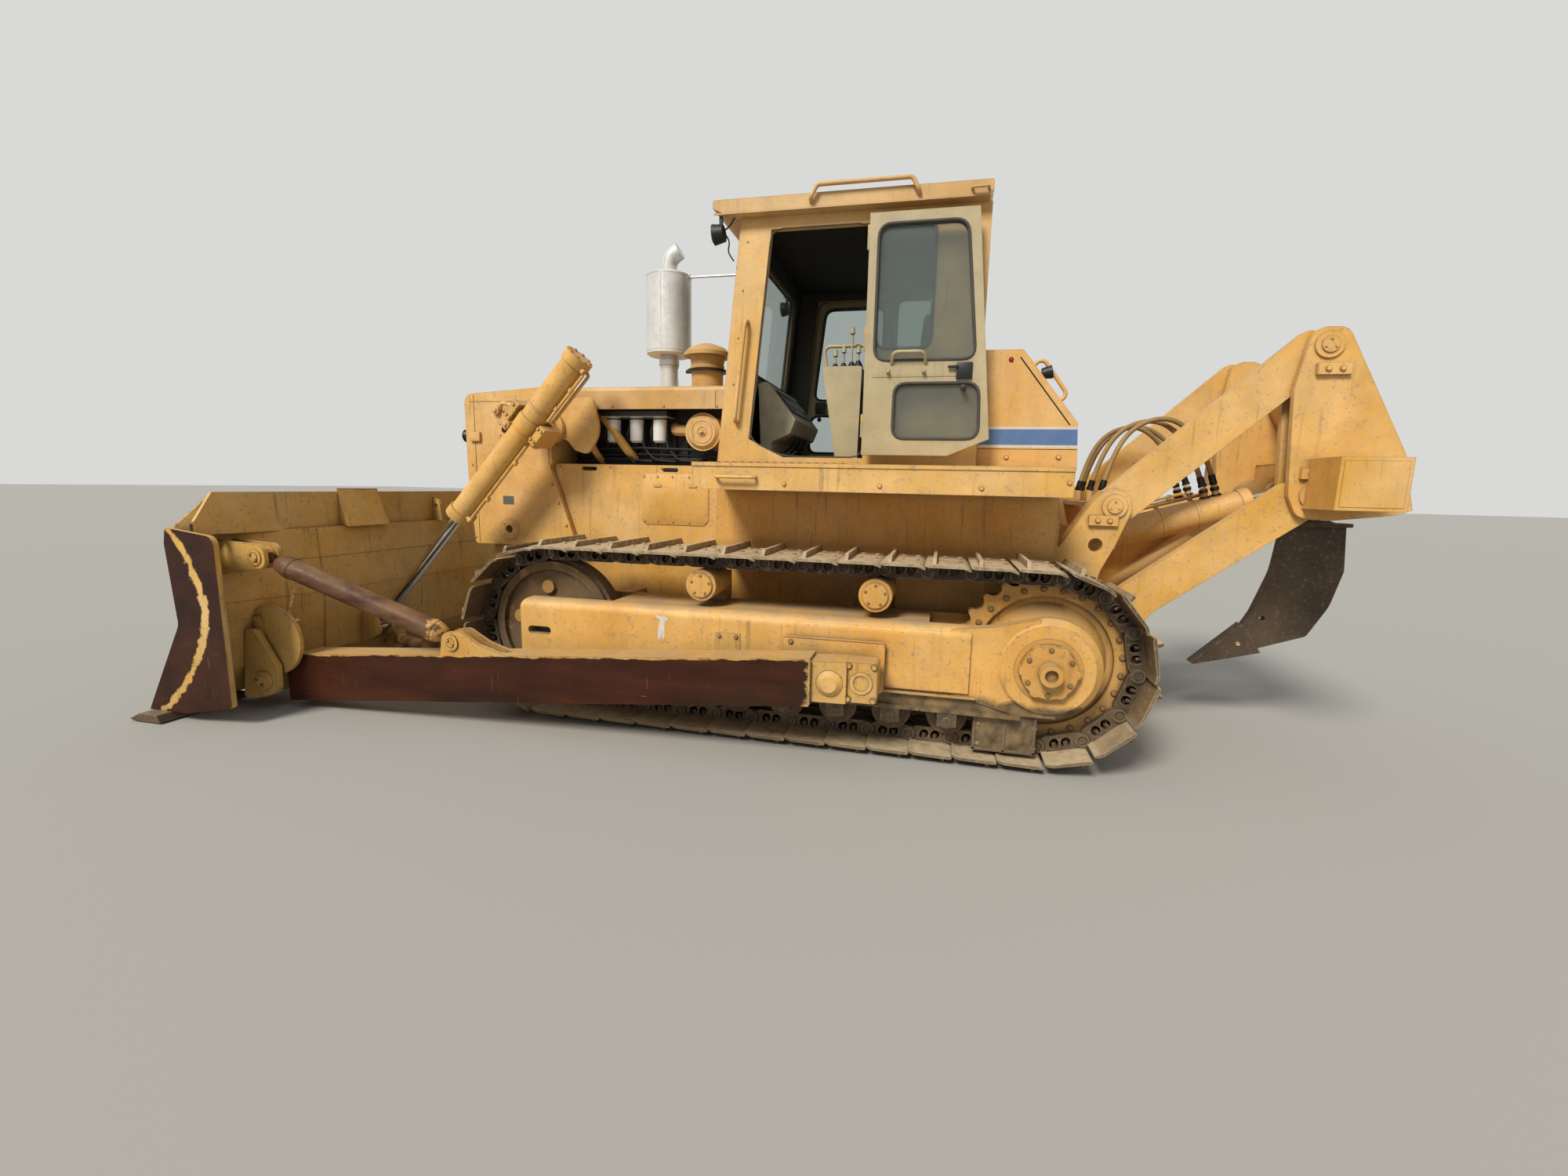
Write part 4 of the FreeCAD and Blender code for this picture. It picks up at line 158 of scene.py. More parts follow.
def blotches(tree, under, over, size, detail, low, high, **more):
    # two colours in patches about size mm across
    return layer(tree, fromHex(under), fromHex(over),
                 ramp(tree, pattern(tree, size, detail, **more), low, high))


def between(tree, value, low, high, soft=0.002):
    # 1 where value lies between low and high
    return times(tree, ramp(tree, value, low - soft, low + soft), ramp(tree, value, high + soft, high - soft))


def weathered(name, base, faded, under="#4B3A2E", dust=0.5, grime=0.5, wear=0.5, low=0.6, rough=0.5,
              metallic=0.0,
              dents=0.5, dustColor="#A8916F", recolor=None, scour=None, shine=0.5):
    # outdoor finish: fade, mottle, grime that runs down, dust on tops, dirt near the ground, dirt and painted shade
    # in corners, worn edges;
    # recolor lies under the dirt, as a stripe does, and scour on top of it, as rubbed steel does
    material = bpy.data.materials.new(name)
    material.use_nodes = True
    tree = material.node_tree
    shader = tree.nodes["Principled BSDF"]
    geometry = addNode(tree, "NewGeometry")
    up = axisValue(tree, geometry.outputs["Normal"], 2)
    height = placeOn(tree, 2)
    color = layer(tree, fromHex(base), fromHex(faded), ramp(tree, pattern(tree, 620, 4), 0.36, 0.66))
    if recolor:
        color = recolor(tree, color)
    mottle = pattern(tree, 26, 6, shift=3.0)
    color = addNode(tree, "HueSaturation", i1=ramp(tree, mottle, 0.3, 0.7, 0.92, 1.06),
                    i2=ramp(tree, pattern(tree, 150, 4, shift=7.0), 0.3, 0.7, 0.88, 1.08), i4=color).outputs[0]
    # grime runs down the upright faces in thin streaks
    streaks = ramp(tree, pattern(tree, 34, 4, (1, 1, 0.07), 5.0), 0.56, 0.76, 0.0, grime)
    upright = ramp(tree, absolute(tree, up), 0.75, 0.35)
    streaks = times(tree, streaks, upright)
    streaks = times(tree, streaks, ramp(tree, pattern(tree, 420, 3, shift=11.0), 0.4, 0.62))
    color = layer(tree, color, fromHex("#54402C"), streaks)
    # small chips through to the steel, and steel along the edges
    edge = addNode(tree, "Bevel", {"samples": 4}, Radius=0.011)
    turned = addNode(tree, "VectorMath", {"operation": "DOT_PRODUCT"}, i0=edge.outputs[0],
                     i1=geometry.outputs["Normal"]).outputs["Value"]
    worn = ramp(tree, plus(tree, turned, ramp(tree, mottle, 0.35, 0.65, -0.10, 0.10)), 0.94, 0.86)
    worn = times(tree, worn, wear)
    chips = ramp(tree, pattern(tree, 60, 9, shift=2.0, distortion=0.6), 0.71, 0.725, 0.0, 0.6 * wear)
    chips = times(tree, chips, ramp(tree, pattern(tree, 380, 2, shift=6.0), 0.50, 0.56))
    worn = greater(tree, worn, chips)
    color = layer(tree, color, fromHex(under), worn)
    # dust settles on tops, dirt gathers low down, and corners are darkened with dirt and painted shade
    patches = pattern(tree, 190, 5, shift=9.0)
    tops = times(tree, ramp(tree, up, 0.45, 0.9), ramp(tree, patches, 0.3, 0.62, 0.25 * dust, dust))
    lowDirt = times(tree, ramp(tree, height, 1.15, 0.15, 0.0, low), ramp(tree, patches, 0.32, 0.6, 0.3, 1.0))
    # painted shade: ambient occlusion darkens corners and crevices to dark brown, as dirt and as the shade that falls
    # there
    corner = addNode(tree, "AmbientOcclusion", {"samples": 4, "only_local": False}, Distance=0.13)
    corner = ramp(tree, corner.outputs["AO"], 0.8, 0.25, 0.0, 0.85 * max(grime, dust))
    color = layer(tree, color, fromHex("#33261A"), corner)
    dusty = greater(tree, tops, lowDirt)
    color = layer(tree, color, fromHex(dustColor), dusty)
    if scour:
        color = scour(tree, color)
    roughness = plus(tree, ramp(tree, mottle, 0.3, 0.7, rough - 0.08, rough + 0.10), times(tree, dusty, 0.35))
    bump = addNode(tree, "Bump", i0=dents, i1=0.004, Height=pattern(tree, 240, 3, shift=4.0))
    fine = addNode(tree, "Bump", i0=0.25, i1=0.0012, Height=pattern(tree, 9, 4), Normal=bump.outputs[0])
    tree.links.new(color, shader.inputs["Base Color"])
    tree.links.new(roughness, shader.inputs["Roughness"])
    tree.links.new(fine.outputs[0], shader.inputs["Normal"])
    shader.inputs["Specular IOR Level"].default_value = shine
    if metallic:
        tree.links.new(times(tree, ramp(tree, dusty, 0.0, 0.6, 1.0, 0.1), metallic), shader.inputs["Metallic"])
    return material


def plain(name, color, rough, metallic=0.0, grain=0.0, grainSize=4.0):
    # indoor or clean finish with a slight unevenness
    material = bpy.data.materials.new(name)
    material.use_nodes = True
    tree = material.node_tree
    shader = tree.nodes["Principled BSDF"]
    tone = ramp(tree, pattern(tree, 70, 4), 0.3, 0.7, 0.85, 1.1)
    mixed = addNode(tree, "HueSaturation", i2=tone, i4=fromHex(color)).outputs[0]
    tree.links.new(mixed, shader.inputs["Base Color"])
    tree.links.new(ramp(tree, pattern(tree, 45, 3), 0.3, 0.7, rough - 0.07, rough + 0.07),
                   shader.inputs["Roughness"])
    shader.inputs["Metallic"].default_value = metallic
    if grain:
        bump = addNode(tree, "Bump", i0=grain, i1=0.001, Height=pattern(tree, grainSize, 2))
        tree.links.new(bump.outputs[0], shader.inputs["Normal"])
    return material


# Shape helpers: places in mm as in the drawing, X forward from the sprocket centre

originX = 1810.0


def at(x, y, z):
    return Vector((x - originX, y, z)) / 1000.0


def addRound(bm, start, end, radius, radius2=None, segments=16):
    a, b = at(*start), at(*end)
    turn = (b - a).to_track_quat("Z", "Y").to_matrix().to_4x4()
    bmesh.ops.create_cone(bm, cap_ends=True, segments=segments, radius1=radius / 1000,
                          radius2=(radius if radius2 is None else radius2) / 1000, depth=(b - a).length,
                          matrix=Matrix.Translation((a + b) / 2) @ turn)


def addBlock(bm, x0, x1, y0, y1, z0, z1, tilt=0.0):
    # tilt turns the block about Y, in degrees
    a, b = at(x0, y0, z0), at(x1, y1, z1)
    shape = Matrix.Rotation(math.radians(tilt), 4, "Y") @ Matrix.Diagonal((*[abs(c) for c in b - a], 1.0))
    bmesh.ops.create_cube(bm, size=1.0, matrix=Matrix.Translation((a + b) / 2) @ shape)


def addBolt(bm, place, axis, size=11.0, washer=True):
    # hex head on a washer; size is its radius over the corners
    start, way = Vector(place), Vector(axis).normalized()
    if washer:
        addRound(bm, start - way, start + way * size * 0.22, size * 1.25, segments=12)
    addRound(bm, start, start + way * size * 0.75, size, segments=6)
    addRound(bm, start + way * size * 0.75, start + way * size * 0.9, size, size * 0.82, segments=6)


def addPlate(bm, outline, low, high, holes=(), plane="XZ"):
    # a plate with holes, from closed outlines in one plane, from low to high across it
    place = {"XZ": lambda u, v, w: at(u, w, v), "YZ": lambda u, v, w: at(w, u, v),
             "XY": lambda u, v, w: at(u, v, w)}[plane]
    edges = []
    for loop in (outline, *holes):
        ring = [bm.verts.new(place(u, v, low)) for u, v in loop]
        edges += [bm.edges.new((ring[i - 1], ring[i])) for i in range(len(ring))]
    filled = bmesh.ops.triangle_fill(bm, use_beauty=True, use_dissolve=False, edges=edges)
    faces = [g for g in filled["geom"] if isinstance(g, bmesh.types.BMFace)]
    pushed = bmesh.ops.extrude_face_region(bm, geom=faces, use_keep_orig=True)
    moved = [g for g in pushed["geom"] if isinstance(g, bmesh.types.BMVert)]
    bmesh.ops.translate(bm, verts=moved, vec=place(0, 0, high) - place(0, 0, low))


def circle(u, v, radius, count=16, start=0.0, turn=360.0):
    steps = count if turn == 360.0 else count - 1
    turns = [math.radians(start + turn * i / steps) for i in range(count)]
    return [(u + radius * math.cos(t), v + radius * math.sin(t)) for t in turns]


def roundPath(points, radius=40.0, steps=5):
    # rounds the inner corners of a path in space
    path = [Vector(points[0])]
    for before, corner, after in zip(points, points[1:], points[2:]):
        before, corner, after = Vector(before), Vector(corner), Vector(after)
        reach = min(radius, (before - corner).length * 0.45, (after - corner).length * 0.45)
        a, b = corner + (before - corner).normalized() * reach, corner + (after - corner).normalized() * reach
        path += [(a * (1 - t) + corner * t) * (1 - t) + (corner * (1 - t) + b * t) * t
                 for t in (i / steps for i in range(steps + 1))]
    return path + [Vector(points[-1])]


def addSweep(bm, points, radius, segments=10):
    # a tube along a path; radius is one number or one for each point
    spots = [at(*p) for p in points]
    radii = radius if isinstance(radius, (list, tuple)) else [radius] * len(spots)
    ways = [(spots[min(i + 1, len(spots) - 1)] - spots[max(i - 1, 0)]).normalized() for i in range(len(spots))]
    side = ways[0].orthogonal().normalized()
    rings = []
    for spot, way, r in zip(spots, ways, radii):
        side = (side - way * side.dot(way)).normalized()
        other = way.cross(side)
        rings.append([bm.verts.new(spot + (side * math.cos(t) + other * math.sin(t)) * (r / 1000))
                      for t in (2 * math.pi * k / segments for k in range(segments))])
    for a, b in zip(rings, rings[1:]):
        for k in range(segments):
            bm.faces.new((a[k - 1], a[k], b[k], b[k - 1]))
    bm.faces.new(rings[0])
    bm.faces.new(rings[-1])


def addWeld(bm, points, size=6.0):
    # a ripple bead along a path
    path = []
    for a, b in zip(points, points[1:]):
        a, b = Vector(a), Vector(b)
        count = max(2, int((b - a).length / 9))
        path += [a.lerp(b, i / count) for i in range(count)]
    path.append(Vector(points[-1]))
    addSweep(bm, path, [size * (1.0 if i % 2 else 0.78) for i in range(len(path))], 6)


def bothSides(bm):
    # adds the mirror image on the other side of the machine
    copied = bmesh.ops.duplicate(bm, geom=bm.verts[:] + bm.edges[:] + bm.faces[:])["geom"]
    verts = [g for g in copied if isinstance(g, bmesh.types.BMVert)]
    bmesh.ops.scale(bm, vec=(1, -1, 1), verts=verts)


def piece(name, bm, body, material, smooth=32.0, bevel=0.0):
    # a finished piece at the origin, riding on its body where it has one
    bmesh.ops.recalc_face_normals(bm, faces=bm.faces[:])
    if bevel:
        sharp = [e for e in bm.edges if e.is_manifold and e.calc_face_angle(0) > math.radians(smooth)]
        bmesh.ops.bevel(bm, geom=sharp, offset=bevel / 1000, segments=2, profile=0.5, affect="EDGES",
                        clamp_overlap=True)
    mesh = bpy.data.meshes.new(name)
    bm.to_mesh(mesh)
    bm.free()
    mesh.shade_smooth()
    mesh.set_sharp_from_angle(angle=math.radians(smooth))
    mesh.materials.append(material)
    made = bpy.data.objects.new(name, mesh)
    bpy.context.scene.collection.objects.link(made)
    if body:
        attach(made, body)
    return made


acrossY = (0, 1, 0)
paneDepths = ((0.8695, 0.8785), (0.9475, 0.9565))


def addRing(bm, u, v, outer, inner, low, high, outerCount=36, innerCount=32, plane="XZ"):
    addPlate(bm, circle(u, v, outer, outerCount), low, high, [circle(u, v, inner, innerCount)], plane)


def addDisc(bm, x, z, y0, y1, radius, radius2, segments):
    # a round that lies across the machine
    addRound(bm, (x, y0, z), (x, y1, z), radius, radius2, segments)


def addTube(bm, points, radius, bend=0, segments=10):
    addSweep(bm, roundPath(points, bend) if bend else points, radius, segments)


def addSeal(bm, corners, y, radius, steps=5):
    # a rubber strip round an opening in an upright plane
    loop = [(u, y, v) for u, v in corners]
    seam = tuple((Vector(loop[0]) + Vector(loop[-1])) / 2)
    addSweep(bm, roundPath([seam, *loop, seam], 78, steps), radius, 8)


def addHull(bm, points):
    made = [bm.verts.new(at(*p)) for p in points]
    bmesh.ops.convex_hull(bm, input=made)


shapes = {
    "bolts": lambda bm, x, y, z, size, axis=acrossY, washer=True: addBolt(bm, (x, y, z), axis, size, washer),
    "blocks": addBlock, "plates": addPlate, "rings": addRing, "rounds": addRound, "discs": addDisc,
    "tubes": addTube, "welds": addWeld, "seals": addSeal, "hulls": addHull}


def build(name, body, material, pairs=None, middle=None, side=1, bevel=0.0):
    # a piece from lists of shapes: pairs stand on both sides, middle once (side -1 puts it on the right)
    bm = bmesh.new()
    for kind, rows in (pairs or {}).items():
        for row in rows:
            shapes[kind](bm, *row)
    if pairs:
        bothSides(bm)
    for kind, rows in (middle or {}).items():
        for row in rows:
            shapes[kind](bm, *row)
    if side == -1:
        bmesh.ops.scale(bm, vec=(1, -1, 1), verts=bm.verts[:])
    return piece(name, bm, body, material, bevel=bevel)


def refine(node, material, bevel=2.5):
    # the CAD node with its facets joined and its edges softened, shown in its place
    bm = bmesh.new()
    bm.from_mesh(nodes[node].data)
    bmesh.ops.remove_doubles(bm, verts=bm.verts[:], dist=1e-5)
    bmesh.ops.dissolve_limit(bm, angle_limit=math.radians(0.5), verts=bm.verts[:], edges=bm.edges[:])
    panes = [f for f in bm.faces if node.startswith("cab_door")
             and all(any(low < abs(v.co.y) < high for low, high in paneDepths) for v in f.verts)]
    for face in panes:
        face.material_index = 1
    made = piece(node + "Shown", bm, body_of(nodes[node])[0], material, bevel=bevel)
    if panes:
        made.data.materials.append(glass)
    weighted = made.modifiers.new("faceNormals", "WEIGHTED_NORMAL")
    weighted.keep_sharp = True
    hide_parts(node)
    return made


# Finishes, from the real machine: work-worn enamel, bare digging steel, dusty track steel

def blueStripe(tree, color):
    # blue band edged in white along the slope of the tank sides
    z = placeOn(tree, 2)
    white = between(tree, z, 1.853, 1.977)
    blue = between(tree, z, 1.868, 1.962)
    flat = ramp(tree, absolute(tree, placeOn(tree, 1)), 0.797, 0.7985)
    color = layer(tree, color, fromHex("#CFC9B8"), times(tree, white, flat))
    return layer(tree, color, fromHex("#54719E"), times(tree, blue, flat))


def scratches(tree, color):
    # fine pale scratches, a few upright and many along
    upright = ramp(tree, pattern(tree, 12, 2, (1, 1, 0.05), 8.0), 0.72, 0.75, 0.0, 0.25)
    along = ramp(tree, pattern(tree, 10, 3, (0.06, 1, 1), 3.0, 0.8), 0.70, 0.74, 0.0, 0.2)
    return layer(tree, color, fromHex("#A98F70"), greater(tree, upright, along))


def scrubbedFace(tree, color):
    # the outer faces of the push arms are rubbed brown ahead of the trunnion, under a yellow top edge
    x, z = placeOn(tree, 0), placeOn(tree, 2)
    side = ramp(tree, absolute(tree, facing(tree, 1)), 0.6, 0.9)
    ragged = ramp(tree, pattern(tree, 120, 6, (1, 1, 3)), 0.3, 0.7, -0.03, 0.03)
    rubbed = times(tree, ramp(tree, plus(tree, x, ragged), -0.52, -0.49), side)
    # the arm's top edge falls by 0.0738 of the way forward
    line = plus(tree, plus(tree, z, times(tree, x, 0.0738)), times(tree, ragged, 0.35))
    rubbed = times(tree, rubbed, ramp(tree, line, 0.604, 0.596))
    tone = blotches(tree, "#2A1308", "#4A2412", 300, 5, 0.35, 0.68, stretch=(0.4, 1, 2), shift=6.0)
    tone = layer(tree, tone, fromHex("#321F12"),
                 ramp(tree, pattern(tree, 700, 3, (1, 1, 0.6), 12.0), 0.52, 0.6, 0.0, 0.8))
    return layer(tree, color, scratches(tree, tone), rubbed)


def muddyFace(tree, color):
    # the blade's face is scoured to steel, its back keeps its paint
    front = ramp(tree, facing(tree, 0), 0.45, 0.75)
    front = times(tree, front, ramp(tree, placeOn(tree, 0), 3.10, 3.22))
    tone = blotches(tree, "#6A5647", "#94806A", 350, 5, 0.35, 0.65, stretch=(1, 0.4, 1.5), shift=6.0)
    patchy = ramp(tree, pattern(tree, 500, 4, shift=2.5), 0.28, 0.42, 0.6, 0.97)
    color = layer(tree, color, tone, times(tree, front, patchy))
    # the end plates are rubbed brown on both sides of a curved strip of paint
    x, z = placeOn(tree, 0), placeOn(tree, 2)
    end = ramp(tree, absolute(tree, facing(tree, 1)), 0.6, 0.9)
    end = times(tree, end, ramp(tree, absolute(tree, placeOn(tree, 1)), 2.015, 2.025))
    rise = plus(tree, z, -0.657)
    bend = times(tree, plus(tree, times(tree, rise, 0.8993), -0.1762), rise)
    away = absolute(tree, plus(tree, plus(tree, x, -3.219), times(tree, bend, -1.0)))
    away = plus(tree, away, ramp(tree, pattern(tree, 60, 5, shift=5.0), 0.3, 0.7, -0.02, 0.02))
    bare = times(tree, end, ramp(tree, away, 0.022, 0.036))
    rust = blotches(tree, "#281206", "#401F0F", 240, 5, 0.35, 0.65, shift=1.5)
    return layer(tree, color, scratches(tree, rust), bare)


def rubbedBrace(tree, color):
    # the middle of each brace is rubbed brown, its ends keep some paint
    x = placeOn(tree, 0)
    ragged = ramp(tree, pattern(tree, 90, 6, (0.5, 1, 1)), 0.3, 0.7, -0.16, 0.16)
    bare = between(tree, plus(tree, x, ragged), 1.88, 2.94, 0.02)
    rust = blotches(tree, "#4C2C1C", "#80603F", 120, 5, 0.35, 0.68, stretch=(0.3, 1, 1), shift=6.0)
    return layer(tree, color, scratches(tree, rust), bare)


def dirtyRail(tree, color):
    # below the beam the rail and the guard block are caked with dry dirt
    z = placeOn(tree, 2)
    ragged = ramp(tree, pattern(tree, 90, 5), 0.3, 0.7, -0.02, 0.02)
    low = ramp(tree, plus(tree, z, ragged), 0.415, 0.385)
    dirt = blotches(tree, "#4A3A28", "#7F6A4A", 70, 6, 0.35, 0.66, shift=6.0)
    return layer(tree, color, dirt, times(tree, low,
        ramp(tree, pattern(tree, 160, 4, shift=8.0), 0.3, 0.5, 0.75, 1.0)))


def idlerBosses(tree, color):
    # the bosses of the idlers, and some splashes round them, are yellow
    x = plus(tree, placeOn(tree, 0), -1.3775)
    z = plus(tree, placeOn(tree, 2), -0.60664)
    # folds the turn into one fifth of the ring, from the boss at 10 degrees
    turn = plus(tree, combine(tree, "ARCTAN2", z, x), math.radians(-10))
    turn = combine(tree, "PINGPONG", turn, math.radians(36))
    far = combine(tree, "SQRT", plus(tree, times(tree, x, x), times(tree, z, z)))
    u = plus(tree, times(tree, far, combine(tree, "COSINE", turn)), -0.265)
    v = times(tree, far, combine(tree, "SINE", turn))
    away = combine(tree, "SQRT", plus(tree, times(tree, u, u), times(tree, v, v)))
    spots = ramp(tree, plus(tree, away, ramp(tree, pattern(tree, 30, 5), 0.3, 0.7, -0.006, 0.006)), 0.050,
                 0.044, 0.0, 0.9)
    splash = ramp(tree, pattern(tree, 110, 6, shift=13.0), 0.62, 0.66, 0.0, 0.5)
    return layer(tree, color, fromHex("#B98F48"), greater(tree, spots, splash))


def filterHead(tree, color):
    # the cast head that the filters hang from is dark
    z = placeOn(tree, 2)
    return layer(tree, color, fromHex("#2A2723"), ramp(tree, z, 2.082, 2.084))


def paleTops(tree, color):
    # the shoes that lie flat on top are pale with dry dust
    up = facing(tree, 2)
    height = placeOn(tree, 2)
    patchy = ramp(tree, pattern(tree, 45, 5, shift=6.5), 0.34, 0.6, 0.35, 0.95)
    dry = greater(tree, ramp(tree, up, 0.80, 0.97), ramp(tree, height, 1.140, 1.160, 0.0, 0.75))
    return layer(tree, color, fromHex("#C6B08D"), times(tree, dry, patchy))


def cabInsideShade(tree, color):
    # painted shade: inside the cab, the posts and walls are coloured dark olive where shade falls
    within = ramp(tree, absolute(tree, placeOn(tree, 1)), 0.804, 0.801)
    x, z = placeOn(tree, 0), placeOn(tree, 2)
    within = times(tree, within, ramp(tree, x, -1.324, -1.320))
    # the windscreen frame leans back by 0.0947 of its rise
    lean = plus(tree, x, times(tree, z, 0.0947))
    within = times(tree, within, ramp(tree, lean, 0.442, 0.438))
    within = times(tree, within, between(tree, z, 1.79, 3.26))
    return layer(tree, color, fromHex("#3E3A30"), within)


yellowPaint = weathered("WeatheredYellowEnamel", "#D7A249", "#E2B674", dust=0.4, grime=0.5, wear=0.5, low=0.35)
hoodPaint = weathered("HoodYellowEnamel", "#C6944A", "#D3AC72", dust=0.4, grime=0.4, wear=0.35, low=0.0)
tankPaint = weathered("TankYellowEnamel", "#D29A45", "#DFB271", dust=0.4, grime=0.35, wear=0.4, low=0.0,
                      recolor=blueStripe)
framePaint = weathered("DustyFrameEnamel", "#D0983F", "#D6A860", dust=0.8, grime=0.8, wear=0.6, low=0.25)
beamPaint = weathered("TrackBeamEnamel", "#DCA24A", "#E2B266", dust=0.85, grime=0.6, wear=0.6, low=0.15,
                      scour=dirtyRail)
armPaint = weathered("ScrubbedArmEnamel", "#CF9742", "#D2A862", dust=0.6, grime=0.7, wear=0.8, low=0.2,
                     scour=scrubbedFace, shine=0.2)
bladePaint = weathered("BladeEnamel", "#D3A24C", "#DBB473", dust=0.55, grime=0.7, wear=0.7, low=0.3,
                       scour=muddyFace, shine=0.25)
bracePaint = weathered("RubbedBraceEnamel", "#CF9742", "#D2A862", dust=0.4, grime=0.7, wear=0.7, low=0.2,
                       scour=rubbedBrace, shine=0.25)
# painted shade: the cab's finish colours its inside dark olive
cabPaint = weathered("CabYellowEnamel", "#D7A249", "#E2B674", dust=0.4, grime=0.4, wear=0.4, low=0.0,
                     recolor=cabInsideShade)
creamPaint = weathered("CreamDoorEnamel", "#AF9D74", "#B9A983", dust=0.3, grime=0.35, wear=0.25, low=0.0,
                       dents=0.25)
shoeSteel = weathered("DustyShoeSteel", "#59462F", "#7D684C", "#B3A288", dust=0.95, grime=0.5, wear=0.8,
                      low=0.3, rough=0.65, metallic=0.2, dustColor="#B09A79",
                      scour=paleTops, shine=0.25)
trackSteel = weathered("OilyLinkSteel", "#33281F", "#57442F", "#8E8070", dust=0.45, grime=0.8, wear=0.8,
                       low=0.3, rough=0.55, metallic=0.45)
wornSteel = weathered("GroundWornSteel", "#443024", "#5F4A38", "#8D7C68", dust=0.4, grime=0.4, wear=0.7,
                      low=0.25, rough=0.5, metallic=0.5)
shankSteel = weathered("ScaledShankSteel", "#3C3127", "#5A4A39", "#8A7A66", dust=0.35, grime=0.5, wear=0.7,
                       low=0.15, rough=0.6, metallic=0.4)
idlerSteel = weathered("DustyIdlerIron", "#5E452E", "#86683F", "#8A7350", dust=0.8, grime=0.6, wear=0.5,
                       low=0.3, rough=0.65, metallic=0.2, recolor=idlerBosses)
darkIron = weathered("OilyDarkIron", "#1F1D1B", "#33302B", "#5A5550", dust=0.45, grime=0.4, wear=0.3, low=0.2,
                     rough=0.5)
exhaustSteel = weathered("AluminisedExhaustSheet", "#D8D6D0", "#E6E4DF", "#6B4A34", dust=0.15, grime=0.35,
                         wear=0.1, low=0.0, rough=0.34, metallic=0.35, dustColor="#9A9488")
chromedRod = plain("HardChromedRod", "#C9CBCC", 0.12, 1.0)
seatVinyl = plain("BlackSeatVinyl", "#17181A", 0.55, grain=0.35)
blackPlastic = plain("BlackMouldedPlastic", "#141414", 0.45, grain=0.15)
khakiTrim = plain("KhakiMouldedTrim", "#DACEAE", 0.6, grain=0.3)
blackRubber = plain("BlackCableRubber", "#151413", 0.7, grain=0.2)
sealRubber = plain("GreyedSealRubber", "#4A463F", 0.75, grain=0.2)
hoseRubber = weathered("PaintedHoseRubber", "#836742", "#A5854E", "#3A342B", dust=0.1, grime=0.4, wear=0.2,
                       low=0.0, rough=0.75)
filterWhite = weathered("WhiteFilterEnamel", "#DEDDD6", "#E4E2DA", dust=0.1, grime=0.2, wear=0.0, low=0.0,
                        rough=0.35, recolor=filterHead)
boltSteel = weathered("DirtyPaintedBolts", "#8E6B38", "#B08948", "#6E5A42", dust=0.6, grime=0.3, wear=0.6,
                      low=0.5, rough=0.5, metallic=0.4)
fittingSteel = plain("DarkSteelFitting", "#3A3733", 0.4, 0.8)
lampLens = plain("ClearLampLens", "#D8DCDC", 0.15)
redPaint = plain("RedCap", "#8E1C16", 0.45)
darkHole = plain("DarkOpening", "#0B0A09", 0.9)
greyPlate = plain("BareDataPlate", "#6F7468", 0.45, 0.4)

glass = bpy.data.materials.new("ClearSafetyGlass")
glass.use_nodes = True
glassShader = glass.node_tree.nodes["Principled BSDF"]
glassShader.inputs["Base Color"].default_value = fromHex("#C9D3D0")
glassShader.inputs["Roughness"].default_value = 0.03
glassShader.inputs["IOR"].default_value = 1.3
glassShader.inputs["Transmission Weight"].default_value = 0.9
glassShader.inputs["Specular IOR Level"].default_value = 0.9

finishes = (
    (framePaint, "sprockets final_drives carrier_rollers main_frame"), (idlerSteel, "idlers"),
    (trackSteel, "track_rollers"), (beamPaint, "track_frames"), (darkIron, "engine_block cab_floor"),
    (yellowPaint, "fenders radiator_guard radiator_grille engine_side_panels air_cleaner lift_cylinder_left"),
    (yellowPaint, "lift_cylinder_right lift_yokes ripper_frame ripper_arm ripper_links ripper_carrier"),
    (yellowPaint, "ripper_cylinders"), (hoodPaint, "hood precleaner cab_roof"), (exhaustSteel, "muffler"),
    (filterWhite, "engine_filters"), (cabPaint, "cab_frame"), (khakiTrim, "dash_console"),
    (creamPaint, "cab_door_right cab_door_left lever_console"), (tankPaint, "rear_tank"), (bladePaint, "blade"),
    (wornSteel, "cutting_edges"), (armPaint, "push_arms"), (bracePaint, "braces"), (shankSteel, "ripper_shank"),
    (chromedRod, "lift_rod_left lift_rod_right ripper_rods"), (seatVinyl, "operator_seat"))
softEdges = {"fenders": 5.0, "hood": 3.0, "rear_tank": 6.0, "blade": 4.0, "push_arms": 5.0, "ripper_arm": 5.0,
             "ripper_carrier": 5.0, "ripper_shank": 6.0, "operator_seat": 14.0, "dash_console": 8.0, "cab_frame": 3.0,
             "ripper_links": 4.0, "track_frames": 4.0, "cab_roof": 5.0}
for material, shown in finishes:
    for node in shown.split():
        refine(node, material, softEdges.get(node, 2.0))
nodes["cab_glass"].data.materials.clear()
nodes["cab_glass"].data.materials.append(glass)
print("finishes on", len(finishes), "nodes")


# Tracks: shoes with grousers, jogged links, pins and bushings, one set for each pitch of the chain

chain = {"pitch": 250.0, "count": 38, "teeth": 25, "axleZ": 606.64, "idlerX": 3187.5, "gauge": 1065.0,
         "width": 610.0,
         "linkTop": 44.0, "plateTop": 62.0, "tip": 104.0}
pinCircle = chain["pitch"] / (2 * math.sin(math.radians(360 / chain["teeth"])))


